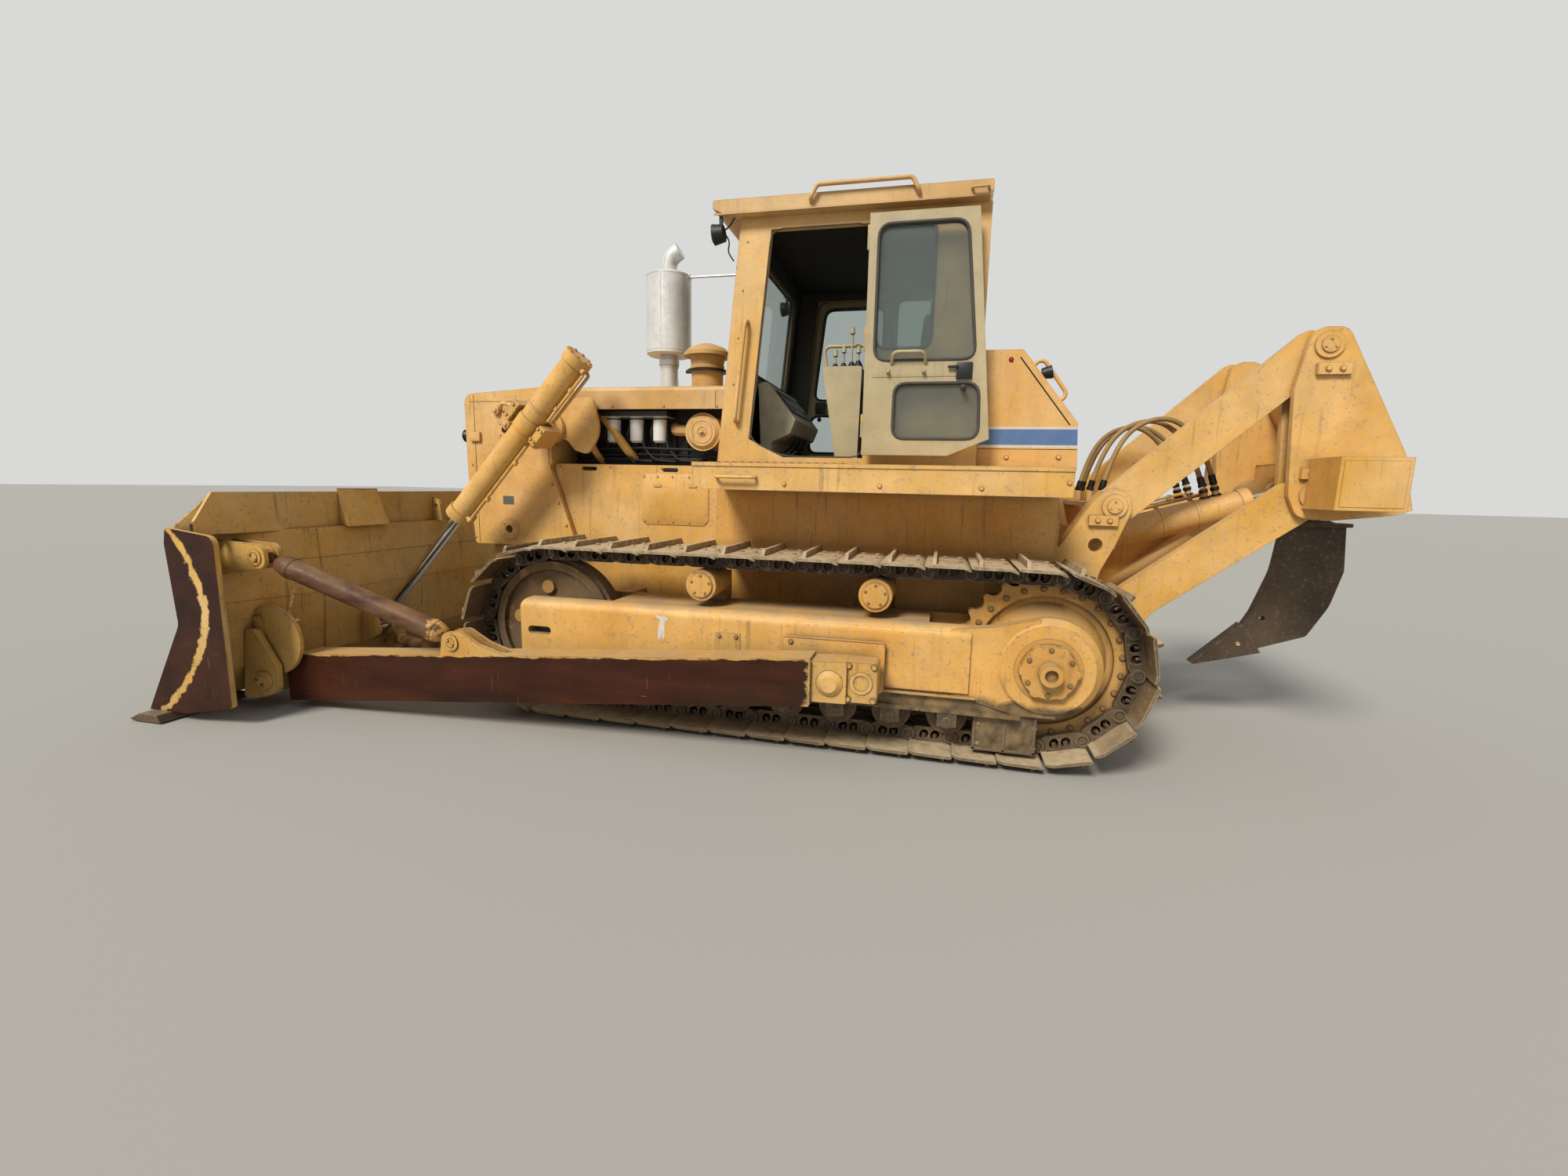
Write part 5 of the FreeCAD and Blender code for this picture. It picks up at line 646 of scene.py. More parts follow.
def pinPlaces():
    # pins from the foot of the sprocket forward and round, as in the drawing
    run, wrap = chain["idlerX"] / chain["pitch"], chain["teeth"] / 4
    step = 2 * math.pi / (chain["teeth"] / 2)
    places = []
    for i in range(chain["count"]):
        if i <= run:
            places.append((i * chain["pitch"], chain["axleZ"] - pinCircle))
        elif i <= run + wrap:
            turn = (i - run) * step
            places.append((chain["idlerX"] + pinCircle * math.sin(turn),
                           chain["axleZ"] - pinCircle * math.cos(turn)))
        elif i <= 2 * run + wrap:
            places.append((chain["idlerX"] - (i - run - wrap) * chain["pitch"], chain["axleZ"] + pinCircle))
        else:
            turn = (i - 2 * run - wrap) * step
            places.append((-pinCircle * math.sin(turn), chain["axleZ"] + pinCircle * math.cos(turn)))
    return places


def addTrackLink(bm, y, wobble, outward):
    # one pitch at the origin, along X from its pin, with the ground side up
    half = chain["width"] / 2
    shoe = [(originX + u, v) for u, v in (
        (-10, 50), (-13, 58), (0, 64), (60, 64), (200, 60), (226, 51), (242, 37), (239, 29), (220, 36), (198, 44),
        (10, 44))]
    addPlate(bm, shoe, y - half, y + half)
    grouser = [(y - half + 6, 60), (y - half + 42, 104 - wobble), (y + half - 42, 104 - wobble),
               (y + half - 6, 60)]
    addPlate(bm, grouser, originX + 30, originX + 50, plane="YZ")
    for u in (98, 186):
        for w in (-85, 85):
            addBolt(bm, (originX + u, y + w, 61), (0, 0, 1), 15, washer=False)
    for face in bm.faces:
        face.material_index = 1
    for u in (90, 156):
        for w in (-84, 84):
            addRound(bm, (originX + u, y + w, 44), (originX + u, y + w, 0), 13, segments=6)
    boss = circle(originX, 0, 43, 9, 100, 170)
    seat = [(originX + 250 + 47 * math.cos(math.radians(t)), 47 * math.sin(math.radians(t)))
            for t in (232, 215, 198, 180, 162, 145, 128)]
    body = boss + [(originX + 22, -48), (originX + 205, -48)] + seat + [(originX + 205, 44), (originX + 10, 44)]
    windows = [[(originX + middle + (u - middle) * 0.86 + v * 0.12, v) for u, v in circle(middle, 0, 33, 12)]
               for middle in (90, 156)]
    jog = [(originX + u, v) for u, v in ((206, -30), (250, -38), (284, -20), (284, 20), (250, 38), (206, 30))]
    for low, high in ((62, 106), (-106, -62)):
        addPlate(bm, body, y + low, y + high, windows if low * outward < 0 else ())
        sign = 1 if low > 0 else -1
        addPlate(bm, circle(originX, 0, 39, 16), y + sign * 100, y + sign * 119, [circle(originX, 0, 27, 12)])
        addRound(bm, (originX, y + sign * 100, 0), (originX, y + sign * 113, 0), 23, 20, segments=12)
        addPlate(bm, jog, y + sign * 40, y + sign * 64)
    addRound(bm, (originX, y - 62, 0), (originX, y + 62, 0), 33, segments=14)


def trackChain(side):
    places = pinPlaces()
    bm = bmesh.new()
    chance = random.Random(5)
    for i, (x, z) in enumerate(places):
        link = bmesh.new()
        addTrackLink(link, 0.0, chance.uniform(0, 7), side)
        xn, zn = places[(i + 1) % len(places)]
        along = Vector((xn - x, 0, zn - z)).normalized()
        out = Vector((along.z, 0, -along.x))
        frameTurn = Matrix((along, out.cross(along), out)).transposed().to_4x4()
        lean = Matrix.Rotation(math.radians(chance.uniform(-0.25, 0.25)), 4, "Z")
        move = Matrix.Translation(at(x, side * chain["gauge"], z)) @ frameTurn @ lean
        bmesh.ops.transform(link, matrix=move, verts=link.verts[:])
        part = bpy.data.meshes.new("link")
        link.to_mesh(part)
        link.free()
        bm.from_mesh(part)
        bpy.data.meshes.remove(part)
    return bm


for name, side in (("track_left", 1), ("track_right", -1)):
    made = piece(name + "Chain", trackChain(side), "machine", trackSteel)
    made.data.materials.append(shoeSteel)
    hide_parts(name)
    print(name, "faces", len(made.data.polygons))


# Undercarriage trim: sprocket and hub bolts, rail strips, bolted plates, guard and roller ends

def boltRing(x, y, z, radius, count, size, start=0.0):
    return [(u, y, v, size) for u, v in circle(x, z, radius, count, start)]


axleZ, carrierZ = chain["axleZ"], chain["axleZ"] + pinCircle - 148
build("undercarriageBolts", "machine", boltSteel, {
    "bolts": boltRing(0, 1115, axleZ, 428, 25, 15) + boltRing(0, 1380, axleZ, 128, 6, 12, 30)
    + boltRing(980, 1284, carrierZ, 60, 5, 7, 20) + boltRing(2070, 1284, carrierZ, 60, 5, 7, 20)
    + [(1460, 1375, 672, 14), (1480, 1375, 430, 14), (1815, 1334, 662, 12), (1925, 1334, 662, 12)]
    + [(x, 1338, 318, 12, (0, 0, -1)) for x in range(700, 2700, 240)]
    + [(x, 1290, z, 11) for x in (40, 350) for z in (130, 250)]})
build("undercarriageStrips", "machine", framePaint, {
    "plates": [([(1788, 560), (1952, 560), (1952, 684), (1788, 684)], 1329, 1333),
               ([(380, 402), (2650, 402), (2650, 416), (380, 416)], 1329, 1341)],
    "rings": [(0, axleZ, 182, 152, 1329, 1337, 40, 40)],
    "welds": [([(x0, y, z), (x1, y, z)], 5) for x0, x1, y, z in (
        (900, 1506, 1376, 702), (560, 895, 1331, 432), (1510, 2680, 1331, 432))]})
build("rollerEnds", "machine", trackSteel, {
    "blocks": [(x - 6, x + 6, 1290, 1300, 96, 320) for x in (40, 205, 372)] + [(34, 378, 1290, 1300, 92, 106)],
    "discs": [(x, 252, *disc) for x in range(530, 2511, 330) for disc in (
        (1330, 1338, 30, 26, 8), (1170, 1200, 118, 118, 28), (1200, 1216, 70, 60, 20))]})
build("whitePaintSmear", "machine", plain("WhitePaintSmear", "#D8D2C4", 0.7), middle={
    "plates": [([(2262, 742), (2290, 760), (2318, 756), (2352, 768), (2346, 750), (2322, 738), (2330, 690),
                 (2338, 640), (2328, 596), (2312, 640), (2300, 610), (2288, 632), (2292, 690), (2282, 730)],
                1330, 1330.8)]})
print("undercarriage trim done")


# Blade, push arms and lift cylinders: bolts, welds, pin keepers, brace tubes, steel lines

build("bladeBolts", "blade_frame", armPaint, {
    "bolts": [(x, 1604, z, 17) for x in (936, 1077) for z in (426, 617)]
    + boltRing(3600, 1662, 560, 22, 2, 9, 40) + boltRing(4855, 1864, 1065, 26, 2, 9, 40)
    + boltRing(4989, 1798, 216, 26, 2, 9, 40)
    + [(5275, y, 92, 14, (-0.8, 0, 0.6)) for y in (-1100, -780, -460, -140)]})
seamHeights = ((5019, 1000), (5003, 750))
build("bladeWelds", "blade_frame", bladePaint, {
    "welds": [([(x, 1250, z), (x + 170, 2030, z)], 5) for x, z in seamHeights]
    + [([(5034, 1250, 1205), (5000, 1250, 760), (5045, 1250, 310)], 6),
       ([(3142, 1640, 484), (3400, 1640, 562)], 6),
       ([(1290, 1652, 642), (1290, 1652, 384)], 7), ([(5122, 1712, 560), (5178, 1712, 92)], 7),
       ([(5150, 637, 1208), (5150, 1010, 1208)], 5)]},
    {"welds": [([(x, -1250, z), (x, 1250, z)], 5) for x, z in seamHeights]})
# the corners of the spill guard, bent forward to the tops of the end plates
build("guardCorners", "blade_frame", bladePaint, {
    "hulls": [([(x + thick, y, z) for thick in (0, 18) for x, y, z in (
        (5088, 1894, 1467), (5088, 1894, 1196), (5236, 2044, 1196), (5236, 2044, 1236))],)]})
build("armRings", "blade_frame", bladePaint, {
    "rings": [(1006, 521, 64, 44, 1604, 1612, 24, 20), (3600, 560, 52, 32, 1654, 1662, 20, 16),
              (4855, 1065, 54, 32, 1851, 1859, 20, 16)],
    "tubes": [([(4906, 1690, 384), (4880, 1680, 560), (4800, 1668, 790), (4766, 1662, 880)], 10),
              ([(5060, 1680, 560), (4900, 1674, 602), (4763, 1668, 630)], 10)]})


def onBrace(*shares):
    # places on the left brace between its pins
    low, top = Vector((3600, 1590, 560)), Vector((4855, 1792, 1065))
    return [low.lerp(top, share) for share in shares]


# the braces' outer tubes, which hide the screws inside
build("braceTubes", "blade_frame", bracePaint, {
    "rounds": [(*onBrace(0.10, 0.88), 68, 68, 32)],
    "tubes": [(onBrace(0.06, 0.07, 0.10, 0.105), [34, 50, 67, 40], 0, 28),
              (onBrace(0.875, 0.88, 0.91, 0.93), [40, 67, 56, 34], 0, 28)]})
build("braceCollars", "blade_frame", bracePaint, {
    "rounds": [(*onBrace(start, start + 0.02), 72, 72, 32) for start in (0.115, 0.845)]}, bevel=3)


def onCylinder(pin, way):
    # gives places along a cylinder from its pin, out from its axis on the upper side, and across the machine
    up = Vector((abs(way.z), 0.0, abs(way.x)))
    return lambda along, out, y: Vector(pin) + way * along + up * out + Vector((0, y, 0))


def endBolts(place, along, radius, middle, size, way, start=22):
    # eight bolts round a cylinder's end
    turns = [math.radians(start + 45 * k) for k in range(8)]
    return [(*place(along, radius * math.cos(t), middle + radius * math.sin(t)), size, way) for t in turns]


liftWay = Vector((1420.0, 0.0, -1555.0)).normalized()
onLift = onCylinder((3530, 0, 1985), liftWay)
for body, tag, side in (("lift_barrel_left", "Left", 1), ("lift_barrel_right", "Ight", -1)):
    build("liftBolts" + tag, body, yellowPaint, middle={
        "bolts": endBolts(onLift, -616, 78, 850, 12, -liftWay)
        + [(*onLift(along, out, 916), 11) for along in (-46, 46) for out in (-142, -112, 112, 142)]}, side=side)
    build("liftLines" + tag, body, yellowPaint, middle={
        "tubes": [([onLift(-560, -88, y), onLift(-548, -116, y), onLift(-120, -116, y)], 12, 24)
                  for y in (812, 880)]
        + [([onLift(120, -100, 880), onLift(840, -100, 880), onLift(860, -80, 880)], 12, 24)],
        "rounds": [(onLift(a, -112, 880), onLift(a + 30, -112, 880), 17, 17, 10)
                   for a in (-420, -250, 260, 620)]
        + [(onLift(a, -70, 880), onLift(a, -112, 880), 24, 24, 12) for a in (-560, 860)]}, side=side)
    build("liftGland" + tag, body, fittingSteel, middle={
        "rounds": [(onLift(924, 0, 850), onLift(934, 0, 850), 70, 62, 28)],
        "bolts": endBolts(onLift, 924, 84, 850, 10, liftWay, 0)}, side=side)
print("blade trim done")


# Nose, hood and engine bay: bolts, covers, plate, headlamps, pipes, filters, exhaust clamps

build("noseBolts", "machine", yellowPaint, {
    "bolts": [(4252, 550, z, 8) for z in (1130, 1420, 1700)] + [(x, 550, 2150, 9) for x in (3700, 3980)]
    + [(3425 + (z - 1206) * 0.36, 550, z, 11) for z in (1250, 1420, 1560)]
    + [(x, 500, 2146, 8) for x in range(2240, 3500, 410)] + [(x, 500, 1700, 8) for x in range(2250, 3520, 420)]
    + [(x, 504, z, 8) for x in (2322, 2450, 2580, 2700, 2808) for z in (1305, 1636)]
    + [(u, 559, v, 7, acrossY, False) for z in (1204, 1970) for u, v in circle(3940, z, 60, 4, 45)]})
build("panelCovers", "machine", yellowPaint, {
    "plates": [([(2336, 1280), (2794, 1280), (2834, 1320), (2834, 1620), (2794, 1660), (2336, 1660),
                 (2296, 1620),
                 (2296, 1320)], 499, 505)],
    "blocks": [(3540, 4250, 549, 553, 2180, 2192), (2390, 2450, 499, 510, 1560, 1580),
               (2670, 2730, 499, 510, 1560, 1580)],
    "rings": [(3940, z, 92, 78, 549, 556, 32, 28) for z in (1204, 1970)],
    "welds": [([(3545, 551, 1700), (3545, 551, 2230)], 4)]}, bevel=1.5)
# lamp brackets, the bolted bracket behind the cylinder, its pipes, and the radiator's cap
build("noseBrackets", "machine", yellowPaint, {
    "blocks": [(4160, 4250, 548, 572, 1880, 1950)],
    "plates": [([(3870, 2010), (3985, 2150), (4045, 2100), (3930, 1960)], 549, 574)],
    "discs": [(3905, 2006, 572, 604, 34, 30, 20), (3990, 2110, 572, 604, 34, 30, 20)],
    "bolts": [(3905, 600, 2006, 17), (3990, 600, 2110, 17)],
    "tubes": [([(3960, 580, 2120), (3900, 640, 2165), (3760, 640, 2120), (3700, 575, 2060)], 15, 50),
              ([(3660, 570, 2180), (3560, 640, 2160), (3540, 640, 2010), (3600, 570, 1920)], 15, 50)]},
    {"rounds": [((4060, 0, 2240), (4060, 0, 2262), 70, 70, 28),
                ((4060, 0, 2262), (4060, 0, 2284), 52, 46, 28)]},
    bevel=2)
build("panelSeams", "machine", darkHole, {
    "blocks": [(4213, 4216, 548, 551.5, 1090, 2235), (3572, 3575, 548, 551.5, 1705, 2240),
               (2250, 2253, 499, 501, 2130, 2250), (3470, 3473, 499, 501, 2130, 2250)]})
build("blankDataPlate", "machine", greyPlate, middle={"blocks": [(3893, 3987, 550, 552, 1398, 1462)]})
build("headlampShells", "machine", blackPlastic, {
    "rounds": [((4304, 505, 1924), (4326, 505, 1924), 40, 46, 28)],
    "rings": [(505, 1924, 49, 41, 4325, 4331, 28, 28, "YZ")]})
build("headlampLenses", "machine", lampLens, {"rounds": [((4324, 505, 1924), (4329, 505, 1924), 41, 36, 28)]})

# engine bay: tan coolant and air pipes, fuel lines, filter bands, grooved air cleaner lid, and a dark plate that
# paints the shade deep in the bay
filterPlaces = (2740, 2930, 3120)
build("enginePipes", "machine", yellowPaint, middle={
    "tubes": [([(3300, 250, 2100), (3200, 380, 2085), (2990, 400, 1830), (2960, 330, 1770)], 34, 60),
              ([(3440, 250, 2080), (3380, 400, 2040), (3250, 420, originX), (3250, 300, 1740)], 26, 60),
              ([(2494, 330, 1985), (2620, 330, 1985), (2660, 250, 2010)], 44, 40)],
    "rounds": [((3420, 300, 2060), (3530, 300, 2060), 70, 70, 24)]})
build("engineLines", "machine", blackRubber, middle={
    "tubes": [([(x - 40, 330, 2100), (x - 60, 380, 1870 - 12 * k), (x - 160, 400, 1760), (x - 320, 380, 1750)],
               9, 50) for k, x in enumerate(filterPlaces)]
    + [([(x + 46, 340, 2095), (x + 70, 390, 1960), (x + 60, 300, 1800)], 8, 50) for x in filterPlaces]
    + [([(2240, 320 + rise, 1745 + rise), (2900, 330 + rise * 0.6, 1760 + rise), (3480, 320, 1745 + rise)], 10)
       for rise in (0, 45, 90)]})
build("filterBands", "machine", fittingSteel, middle={
    "plates": [(circle(x, 362, 53.5, 24), 2060, 2070, (), "XY") for x in filterPlaces],
    "rounds": [((x, 362, 1874), (x, 362, 1892), 12, 12, 8) for x in filterPlaces]})
build("airCleanerLid", "machine", yellowPaint, middle={
    "rings": [(2370, 1968, outer, outer - 8, y - 4, y + 1.5) for outer,
              y in ((104, 459), (84, 462), (62, 459), (40, 463))]
    + [(2370, 1968, 138, 125, 428, 436)],
    "discs": [(2370, 1968, 458, 484, 16, 13, 12)], "blocks": [(2348, 2392, 476, 486, 1962, 1974)]})
# painted shade: a dark plate at the back of the bay stands for the shade there, with dark blocks and rounds in front
# of it
build("engineBayShadeBackdrop", "machine", darkIron, middle={
    "blocks": [(2180, 3530, 212, 216, 1725, 2275)] + [(x, x + 55, 214, 244, 1750, 2060)
        for x in (2560, 2660, 2820, 2990)],
    "discs": [(3150, 1900, 214, 262, 105, 105, 26), (3390, 1850, 214, 270, 80, 80, 24)]}, bevel=3)

# exhaust: seam, clamp bands, stay clip; band of the precleaner
build("exhaustClamps", "machine", exhaustSteel, middle={
    "plates": [(circle(2775, 100, radius, 28), z, z + 14, (), "XY") for z,
               radius in ((2352, 66), (2376, 66), (2480, 70))]
    + [(circle(2775, 100, 174, 40), z, z + 6, (), "XY") for z in (2600, 3150)],
    "blocks": [(2700, 2722, 92, 108, z - 2, z + 16)
               for z in (2352, 2376, 2480)] + [(2769, 2781, 270, 274, 2606, 3150)],
    "rounds": [((2610, 100, 3150), (2600, 100, 3150), 22, 22, 12)]})
build("precleanerBand", "machine", fittingSteel, middle={
    "plates": [(circle(2402, 250, 154, 36), 2420, 2432, (), "XY")], "blocks": [(2546, 2574, 240, 260, 2416,
        2438)]})
print("hood and engine bay done")


# Cab: rubber seals, lining, dials, lamps, latches, seat padding, levers' knobs, deck bolts

doorLights = ([(1202, 2350), (1795, 2350), (1710, 3120), (1202, 3120)],
              [(1330, 1890), (1838, 1890), (1824, 2215), (1330, 2215)])
# the left door stands swung open, so it is drawn turned end for end
for body, side, swung in (("door_left", 1, True), ("door_right", -1, False)):
    inner, outer, way = (971, 931, -1) if swung else (855, 895, 1)

    def along(u):
        return 2280 - u if swung else u

    def within(u, depth, v):
        return along(u), inner - way * depth, v

    name = body.replace("_", "")
    build(name + "Seals", body, sealRubber, middle={
        "seals": [([(along(u), v) for u, v in light], y, 9) for light in doorLights
                  for y in (inner, outer)]}, side=side)
    build(name + "Handle", body, creamPaint, middle={
        "rounds": [(within(u, 0, 2285), within(u, 34, 2285), 12, 12, 10) for u in (1290, 1500)],
        "tubes": [([within(1510, 2, 2330), within(1500, 46, 2390), within(1320, 46, 2390),
                    within(1310, 2, 2330)],
                   10, 34)],
        "blocks": [(along(1200), along(1780), inner - 3, inner + 3, 2252, 2262)]}, side=side)
    build(name + "Latch", body, blackPlastic, middle={
        "blocks": [(along(1690), along(1780), inner - 14, inner + 14, 2235, 2330),
                   (along(1640), along(1700), inner - way * 18 - 6, inner - way * 18 + 6, 2296, 2312)],
        "discs": [(along(1735), 2180, inner, inner - way * 42, 14, 20, 14),
                  (along(1752), 2260, outer, outer + way * 30, 24, 18, 16)]}, side=side, bevel=2)

sideLight = [(750, 2440), (1090, 2440), (1090, 3170), (750, 3170)]
doorEdge = [(1140, 1780), (1668, 1780), (1894, 1884), (1766, 3178), (1140, 3178)]


def acrossLoop(top, foot, half, low, high):
    # a seal round a light that faces along the machine; top and foot are its places along X
    loop = [(top, 0, high), (top, half, high), (foot, half, low), (foot, -half, low), (top, -half, high),
            (top, 0, high)]
    return loop, 11, 60, 8


build("cabSeals", "machine", sealRubber, {
    "seals": [(sideLight, 850, 11), (sideLight, 803, 10), (doorEdge, 846, 5, 3)]},
    {"tubes": [acrossLoop(1979 - back, 2050 - back, 636, 2380, 3130) for back in (0, 48)]
     + [acrossLoop(x, x, 556, 2470, 3120) for x in (440, 490)]})
build("cabLining", "machine", plain("DarkCabLining", "#2B2824", 0.85, grain=0.3), {
    "blocks": [(500, 1120, 790, 799, 1780, 2420)]},
    {"blocks": [(492, 1912, -798, 798, 3236, 3249), (491, 497, -798, 798, 1780, 2440)]}, bevel=2)
build("dashFace", "machine", blackPlastic, middle={
    "plates": [([(1723, 2120), (1851, 2275), (1847, 2279), (1719, 2124)], -400, 320)]}, bevel=1.5)
dialRow = range(-330, 271, 120)
build("dialGlasses", "machine", lampLens, middle={
    "rounds": [((1785, y, 2199), (1779, y, 2204), 40, 40, 24) for y in dialRow]})
build("dialRims", "machine", fittingSteel, middle={
    "rounds": [((1786, y, 2198), (1780, y, 2203), 46, 46, 24) for y in dialRow]})
build("seatPads", "machine", seatVinyl, {"blocks": [(800, 1130, 286, 350, 2370, 2420)]}, {
    "blocks": [(800, 1290, y - 78, y + 78, 2180, 2206) for y in (-165, 0, 165)]
    + [(842 - (z - 2110) * 0.09, 872 - (z - 2110) * 0.09, -238, 238, z - 62, z + 62, -5)
       for z in (2260, 2400, 2540, 2680)]}, bevel=14)
build("armrestStalks", "machine", fittingSteel, {
    "tubes": [([(810, 262, 2240), (850, 318, 2260), (850, 318, 2380)], 14, 30)]})
levers = ((1390, 500, 2470), (1330, 520, 2490), (1270, 560, 2600), (1220, 600, 2470))
build("leverKnobs", "machine", blackPlastic, middle={
    "rounds": [((x, y, 2378), (x, y, 2420), 34, 12) for x, y, top in levers]
    + [((x, y, top - 4), (x, y, top + 40), 13, 10, 14) for x, y, top in levers]})
build("pedals", "machine", blackRubber, middle={
    "blocks": [(1730, 1742, y - 45, y + 45, 1860, 1960, -25) for y in (-140, 40, 220)],
    "rounds": [((1742, y, 1880), (1800, y, 1840), 9, 9, 8) for y in (-140, 40, 220)]})

# roof: work lamps with their wires at the front, handles at the rear, drip edge; deck bolts and treads; wiper
build("roofLamps", "machine", blackPlastic, {
    "rounds": [((2060, 900, 3152), (2128, 900, 3146), 50, 62, 24)],
    "blocks": [(2070, 2090, 890, 910, 3196, 3252)],
    "tubes": [([(2062, 900, 3160), (2020, 905, 3100), (2035, 900, 3040), (2000, 880, 2990)], 5, 40, 6),
              ([(2060, 895, 3170), (2030, 880, 3200), (2000, 870, 3251)], 5, 30, 6)]})
build("roofLenses", "machine", lampLens, {"rounds": [((2127, 900, 3146), (2133, 900, 3146), 54, 48, 24)]})
build("roofTrim", "machine", hoodPaint, {
    "blocks": [(445, 2120, 922, 928, 3252, 3262)],
    "tubes": [([(470, 920, 3290), (470, 958, 3290), (560, 958, 3290), (560, 920, 3290)], 8, 20)]})
build("deckBolts", "machine", yellowPaint, {
    "bolts": [(2024 - (z - 2040) * 0.098, 850, z, 6) for z in range(2240, 3200, 290)]
    + [(x, 1300, z, 12) for x, z in ((-30, 1640), (420, 1600), (980, 1600), (1540, 1600))]})
build("stepTread", "machine", wornSteel, {
    "blocks": [(1180, 2060, 890, 1270, 1721, 1725)]
    + [(1205 + 51 * i, 1213 + 51 * i, 905, 1255, 1724, 1729) for i in range(17)]})
build("wiper", "machine", blackPlastic, middle={
    "tubes": [([(2066, 60, 2392), (2040, 200, 2800), (2036, 215, 2830)], 6, 0, 6)],
    "blocks": [(2026, 2036, 195, 215, 2560, 3080, -5.5)], "rounds": [((2050, 60, 2385), (2078, 60, 2387), 20,
        20, 12)]})
print("cab trim done")


# Rear tank and ripper: bolts, keepers, welds, steel lines and the four hoses

def keeperBolts(*places):
    # three small bolts on each pin's keeper
    return [(u, 649, v, 7, acrossY, False) for x, z in places for u, v in circle(x, z, 28, 3, 90)]


build("rearBolts", "machine", yellowPaint, {
    "bolts": [(-395, 651, 1420, 15), (-325, 651, 1420, 15)] + keeperBolts((-420, 1510), (-446, 662))
    + [(-110, 595, z, 15, (-1, 0, 0)) for z in (620, 760, 900, 1040)] + [(-40, 800, 1797, 13),
        (261, 800, 1794, 13)]})
build("tankGrooves", "machine", darkHole, {
    "plates": [([(-92, 1990), (-86, 1986), (222, 2381), (216, 2386)], 797, 800.8),
               ([(-140, 1842), (436, 1842), (436, 1845), (-140, 1845)], 798, 800.8)]})
build("redPlug", "machine", redPaint, middle={"bolts": [(272, 800, 2371, 12)]})
build("tankLamps", "machine", blackPlastic, {
    "rounds": [((52, 500, 2334), (-6, 500, 2346), 34, 42, 24)], "blocks": [(40, 90, 492, 508, 2300, 2330)]})
build("tankLenses", "machine", lampLens, {"rounds": [((-5, 500, 2345.8), (-10, 500, 2346.8), 38, 34, 24)]})
build("toolBolts", "ripper_tool", yellowPaint, {
    "bolts": [(x, 651, z, 15) for x, z in ((-1525, 2316), (-1455, 2316), (-1516, 1728), (-1446, 1728))]
    + keeperBolts((-1455, 2451), (-1481, 1603)),
    "discs": [(-1428, 575, 44, 54, 17, 13, 12), (-1750, 1650, 60, 80, 34, 30, 20)]})
build("toolWelds", "ripper_tool", yellowPaint, {
    "welds": [([(x, 627, z) for x, z in ((-1771, 1526), (-1434, 1526), (-1434, 1812), (-1771, 1812),
        (-1771, 1526))], 7)]
    + [([(x, 0, z), (x, end, z)], 6) for x, z,
       end in ((-1602, 1816, 500), (-1880, 1816, 500), (-1598, 1534, 452))],
    "plates": [([(-1752, 1544), (-1453, 1544), (-1453, 1794), (-1752, 1794)], 949, 953)]})
build("armWelds", "ripper_arm_body", yellowPaint, middle={
    "welds": [([(x, -498, z), (x, 498, z)], 6) for x, z in ((-912, 1085), (-888, 1062))]})

ripperWay = Vector((-0.9595, 0.0, 0.2818))
onRipper = onCylinder((-330, 0, 1265), ripperWay)
build("ripperFittings", "ripper_barrel_body", fittingSteel, {
    "rounds": [(onRipper(port, low, 250), onRipper(port, high, 250), *sizes) for port in (773, 839)
               for low, high, *sizes in ((88, 104, 34, 30, 16), (128, 150, 28, 28, 6))],
    "bolts": endBolts(onRipper, 1008, 78, 250, 9, ripperWay)})
build("ripperLines", "ripper_barrel_body", yellowPaint, {
    "tubes": [([onRipper(*place, 205) for place in ((805, 88), (790, 116), (150, 116), (132, 88))], 11, 30)]})
build("ripperBands", "ripper_barrel_body", yellowPaint, {
    "rounds": [(onRipper(a, 0, 250), onRipper(a + 22, 0, 250), 98, 98, 36) for a in (230, 480, 690)]
    + [(onRipper(a + 11, 94, 205), onRipper(a + 11, 130, 205), 15, 15, 8) for a in (230, 480, 690)]})


def makeHose(number, side, route):
    # a hydraulic hose on the route's smooth line, crimped at both ends, from the shelf to the barrel
    points = [Vector((x, side * y, z)) for x, y, z in route]
    data = bpy.data.curves.new("hoseRoute", "CURVE")
    data.dimensions = "3D"
    data.resolution_u = 14
    spline = data.splines.new("NURBS")
    spline.points.add(len(points) - 1)
    for spot, place in zip(spline.points, points):
        spot.co = (*place, 1.0)
    spline.order_u = 3
    spline.use_endpoint_u = True
    guide = bpy.data.objects.new("hoseRoute", data)
    line = bpy.data.meshes.new_from_object(guide)
    path = [v.co.copy() for v in line.vertices]
    bpy.data.objects.remove(guide)
    bpy.data.curves.remove(data)
    bpy.data.meshes.remove(line)
    drawn = [place * 1000 + Vector((originX, 0, 0)) for place in path]
    tube = bmesh.new()
    addSweep(tube, drawn, 16, 12)
    hose = piece(f"ripperHose{number}", tube, None, hoseRubber)
    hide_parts(f"ripper_hose_{number}")
    for body, end, tag in (("machine", drawn[:6], "Shelf"), ("ripper_barrel_body", drawn[-6:], "Port")):
        crimp = bmesh.new()
        start, way = (end[0], (end[1] - end[0])) if tag == "Shelf" else (end[-1], (end[-2] - end[-1]))
        way = way.normalized()
        addRound(crimp, start - way * 3, start + way * 16, 25, segments=6)
        addRound(crimp, start + way * 16, start + way * 66, 21, 20, segments=20)
        for step in (26, 38, 50):
            addRound(crimp, start + way * step, start + way * (step + 4), 22.5, segments=20)
        piece(f"hoseCrimp{tag}{number}", crimp, body, fittingSteel)
    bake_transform(hose, "machine", "ripper_barrel_body", start=points[0], end=points[-1])


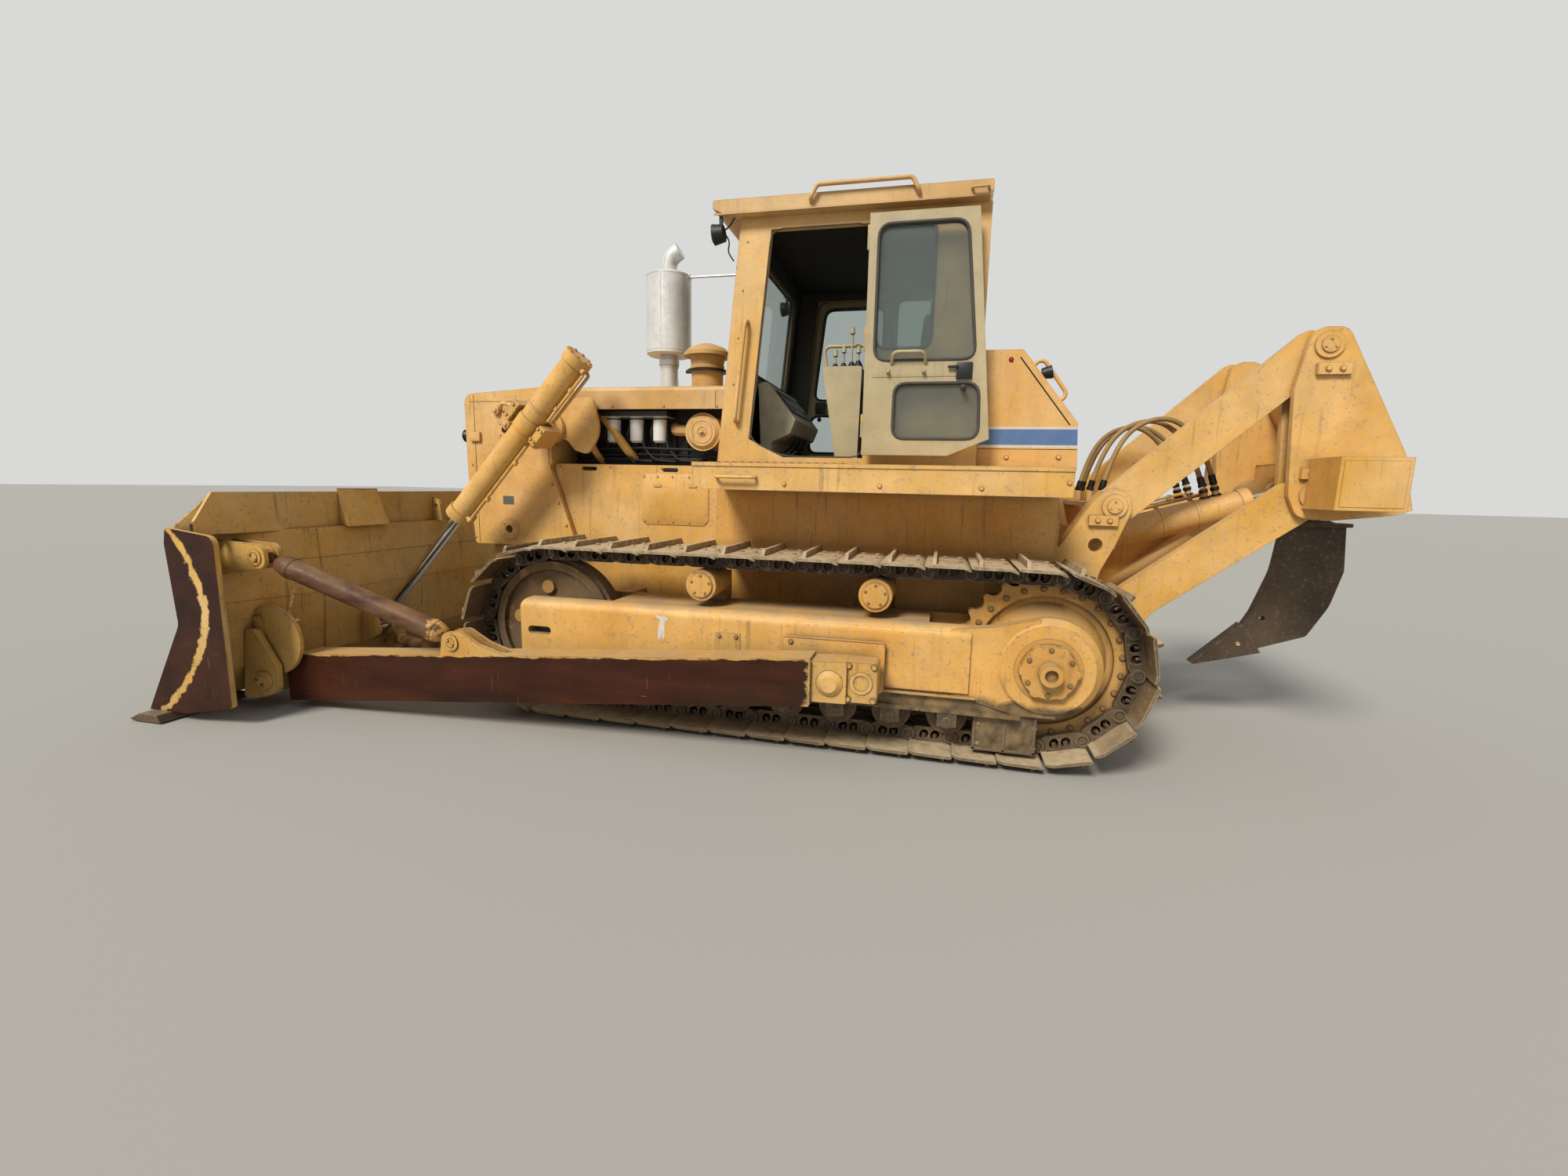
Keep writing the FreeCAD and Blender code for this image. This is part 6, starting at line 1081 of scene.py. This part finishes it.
nearRoute = [(-2.162, 0.2, 1.61), (-2.20367, 0.20833, 1.822), (-2.31933, 0.21667, 2.025),
             (-2.522, 0.225, 2.085),
             (-2.68767, 0.23333, 1.968), (-2.78433, 0.24167, 1.79), (-2.83378, 0.25, 1.64591)]
farRoute = [(-2.208, 0.33, 1.61), (-2.25255, 0.31667, 1.8251), (-2.37111, 0.30333, 2.0312),
            (-2.57666, 0.29, 2.0943),
            (-2.74522, 0.27667, 1.9804), (-2.84477, 0.26333, 1.8055), (-2.89711, 0.25, 1.66451)]
makeHose(1, 1, nearRoute)
makeHose(2, 1, farRoute)
makeHose(3, -1, nearRoute)
makeHose(4, -1, farRoute)
print("rear trim done")


# Stage: pale floor, overcast light, and the photo's camera

floorMesh = bmesh.new()
bmesh.ops.create_grid(floorMesh, x_segments=1, y_segments=1, size=90.0)
floorData = bpy.data.meshes.new("paleFloor")
floorMesh.to_mesh(floorData)
floorMesh.free()
floorPaint = bpy.data.materials.new("PaleFloor")
floorPaint.use_nodes = True
floorPaint.node_tree.nodes["Principled BSDF"].inputs["Base Color"].default_value = fromHex("#A5A29A")
floorPaint.node_tree.nodes["Principled BSDF"].inputs["Roughness"].default_value = 0.95
floorData.materials.append(floorPaint)
floor = bpy.data.objects.new("paleFloor", floorData)
bpy.context.scene.collection.objects.link(floor)

world = bpy.data.worlds.new("overcast")
bpy.context.scene.world = world
world.use_nodes = True
sky = world.node_tree
sky.nodes.clear()
climb = axisValue(sky, addNode(sky, "TexCoord").outputs["Generated"], 2)
dome = layer(sky, fromHex("#A9ADB0"), fromHex("#E8ECF0"), ramp(sky, climb, -0.05, 0.9))
lit = addNode(sky, "Background", i0=dome, i1=0.66).outputs[0]
seen = addNode(sky, "Background", i0=fromHex("#D9DAD8"), i1=1.0).outputs[0]
rays = addNode(sky, "LightPath").outputs
direct = greater(sky, rays["Is Camera Ray"], rays["Is Transmission Ray"])
direct = greater(sky, direct, rays["Is Glossy Ray"])
mixed = addNode(sky, "MixShader", i0=direct, i1=lit, i2=seen).outputs[0]
addNode(sky, "OutputWorld", Surface=mixed)

lampData = bpy.data.lights.new("softSun", "SUN")
lampData.energy = 3.2
lampData.angle = math.radians(18)
lampData.color = (1.0, 0.97, 0.92)
lamp = bpy.data.objects.new("softSun", lampData)
lamp.rotation_euler = (math.radians(-42), math.radians(20), 0)
bpy.context.scene.collection.objects.link(lamp)

yaw, pitch, roll = (math.radians(v) for v in (13.1816, 8.8122, 1.3183))
forward = Vector((math.sin(yaw) * math.cos(pitch), -math.cos(yaw) * math.cos(pitch), -math.sin(pitch)))
right = Vector((-math.cos(yaw), -math.sin(yaw), 0.0))
above = right.cross(forward)
right, above = math.cos(roll) * right + math.sin(roll) * above, math.cos(roll) * above - math.sin(roll) * right
cameraData = bpy.data.cameras.new("photoCamera")
cameraData.lens = 15.114
cameraData.sensor_width = 36.0
camera = bpy.data.objects.new("photoCamera", cameraData)
turn = Matrix((right, above, -forward)).transposed()
camera.matrix_world = Matrix.Translation((-1.1793, 5.1249, 1.5889)) @ turn.to_4x4()
bpy.context.scene.collection.objects.link(camera)
bpy.context.scene.camera = camera
bpy.context.scene.view_settings.view_transform = "Standard"
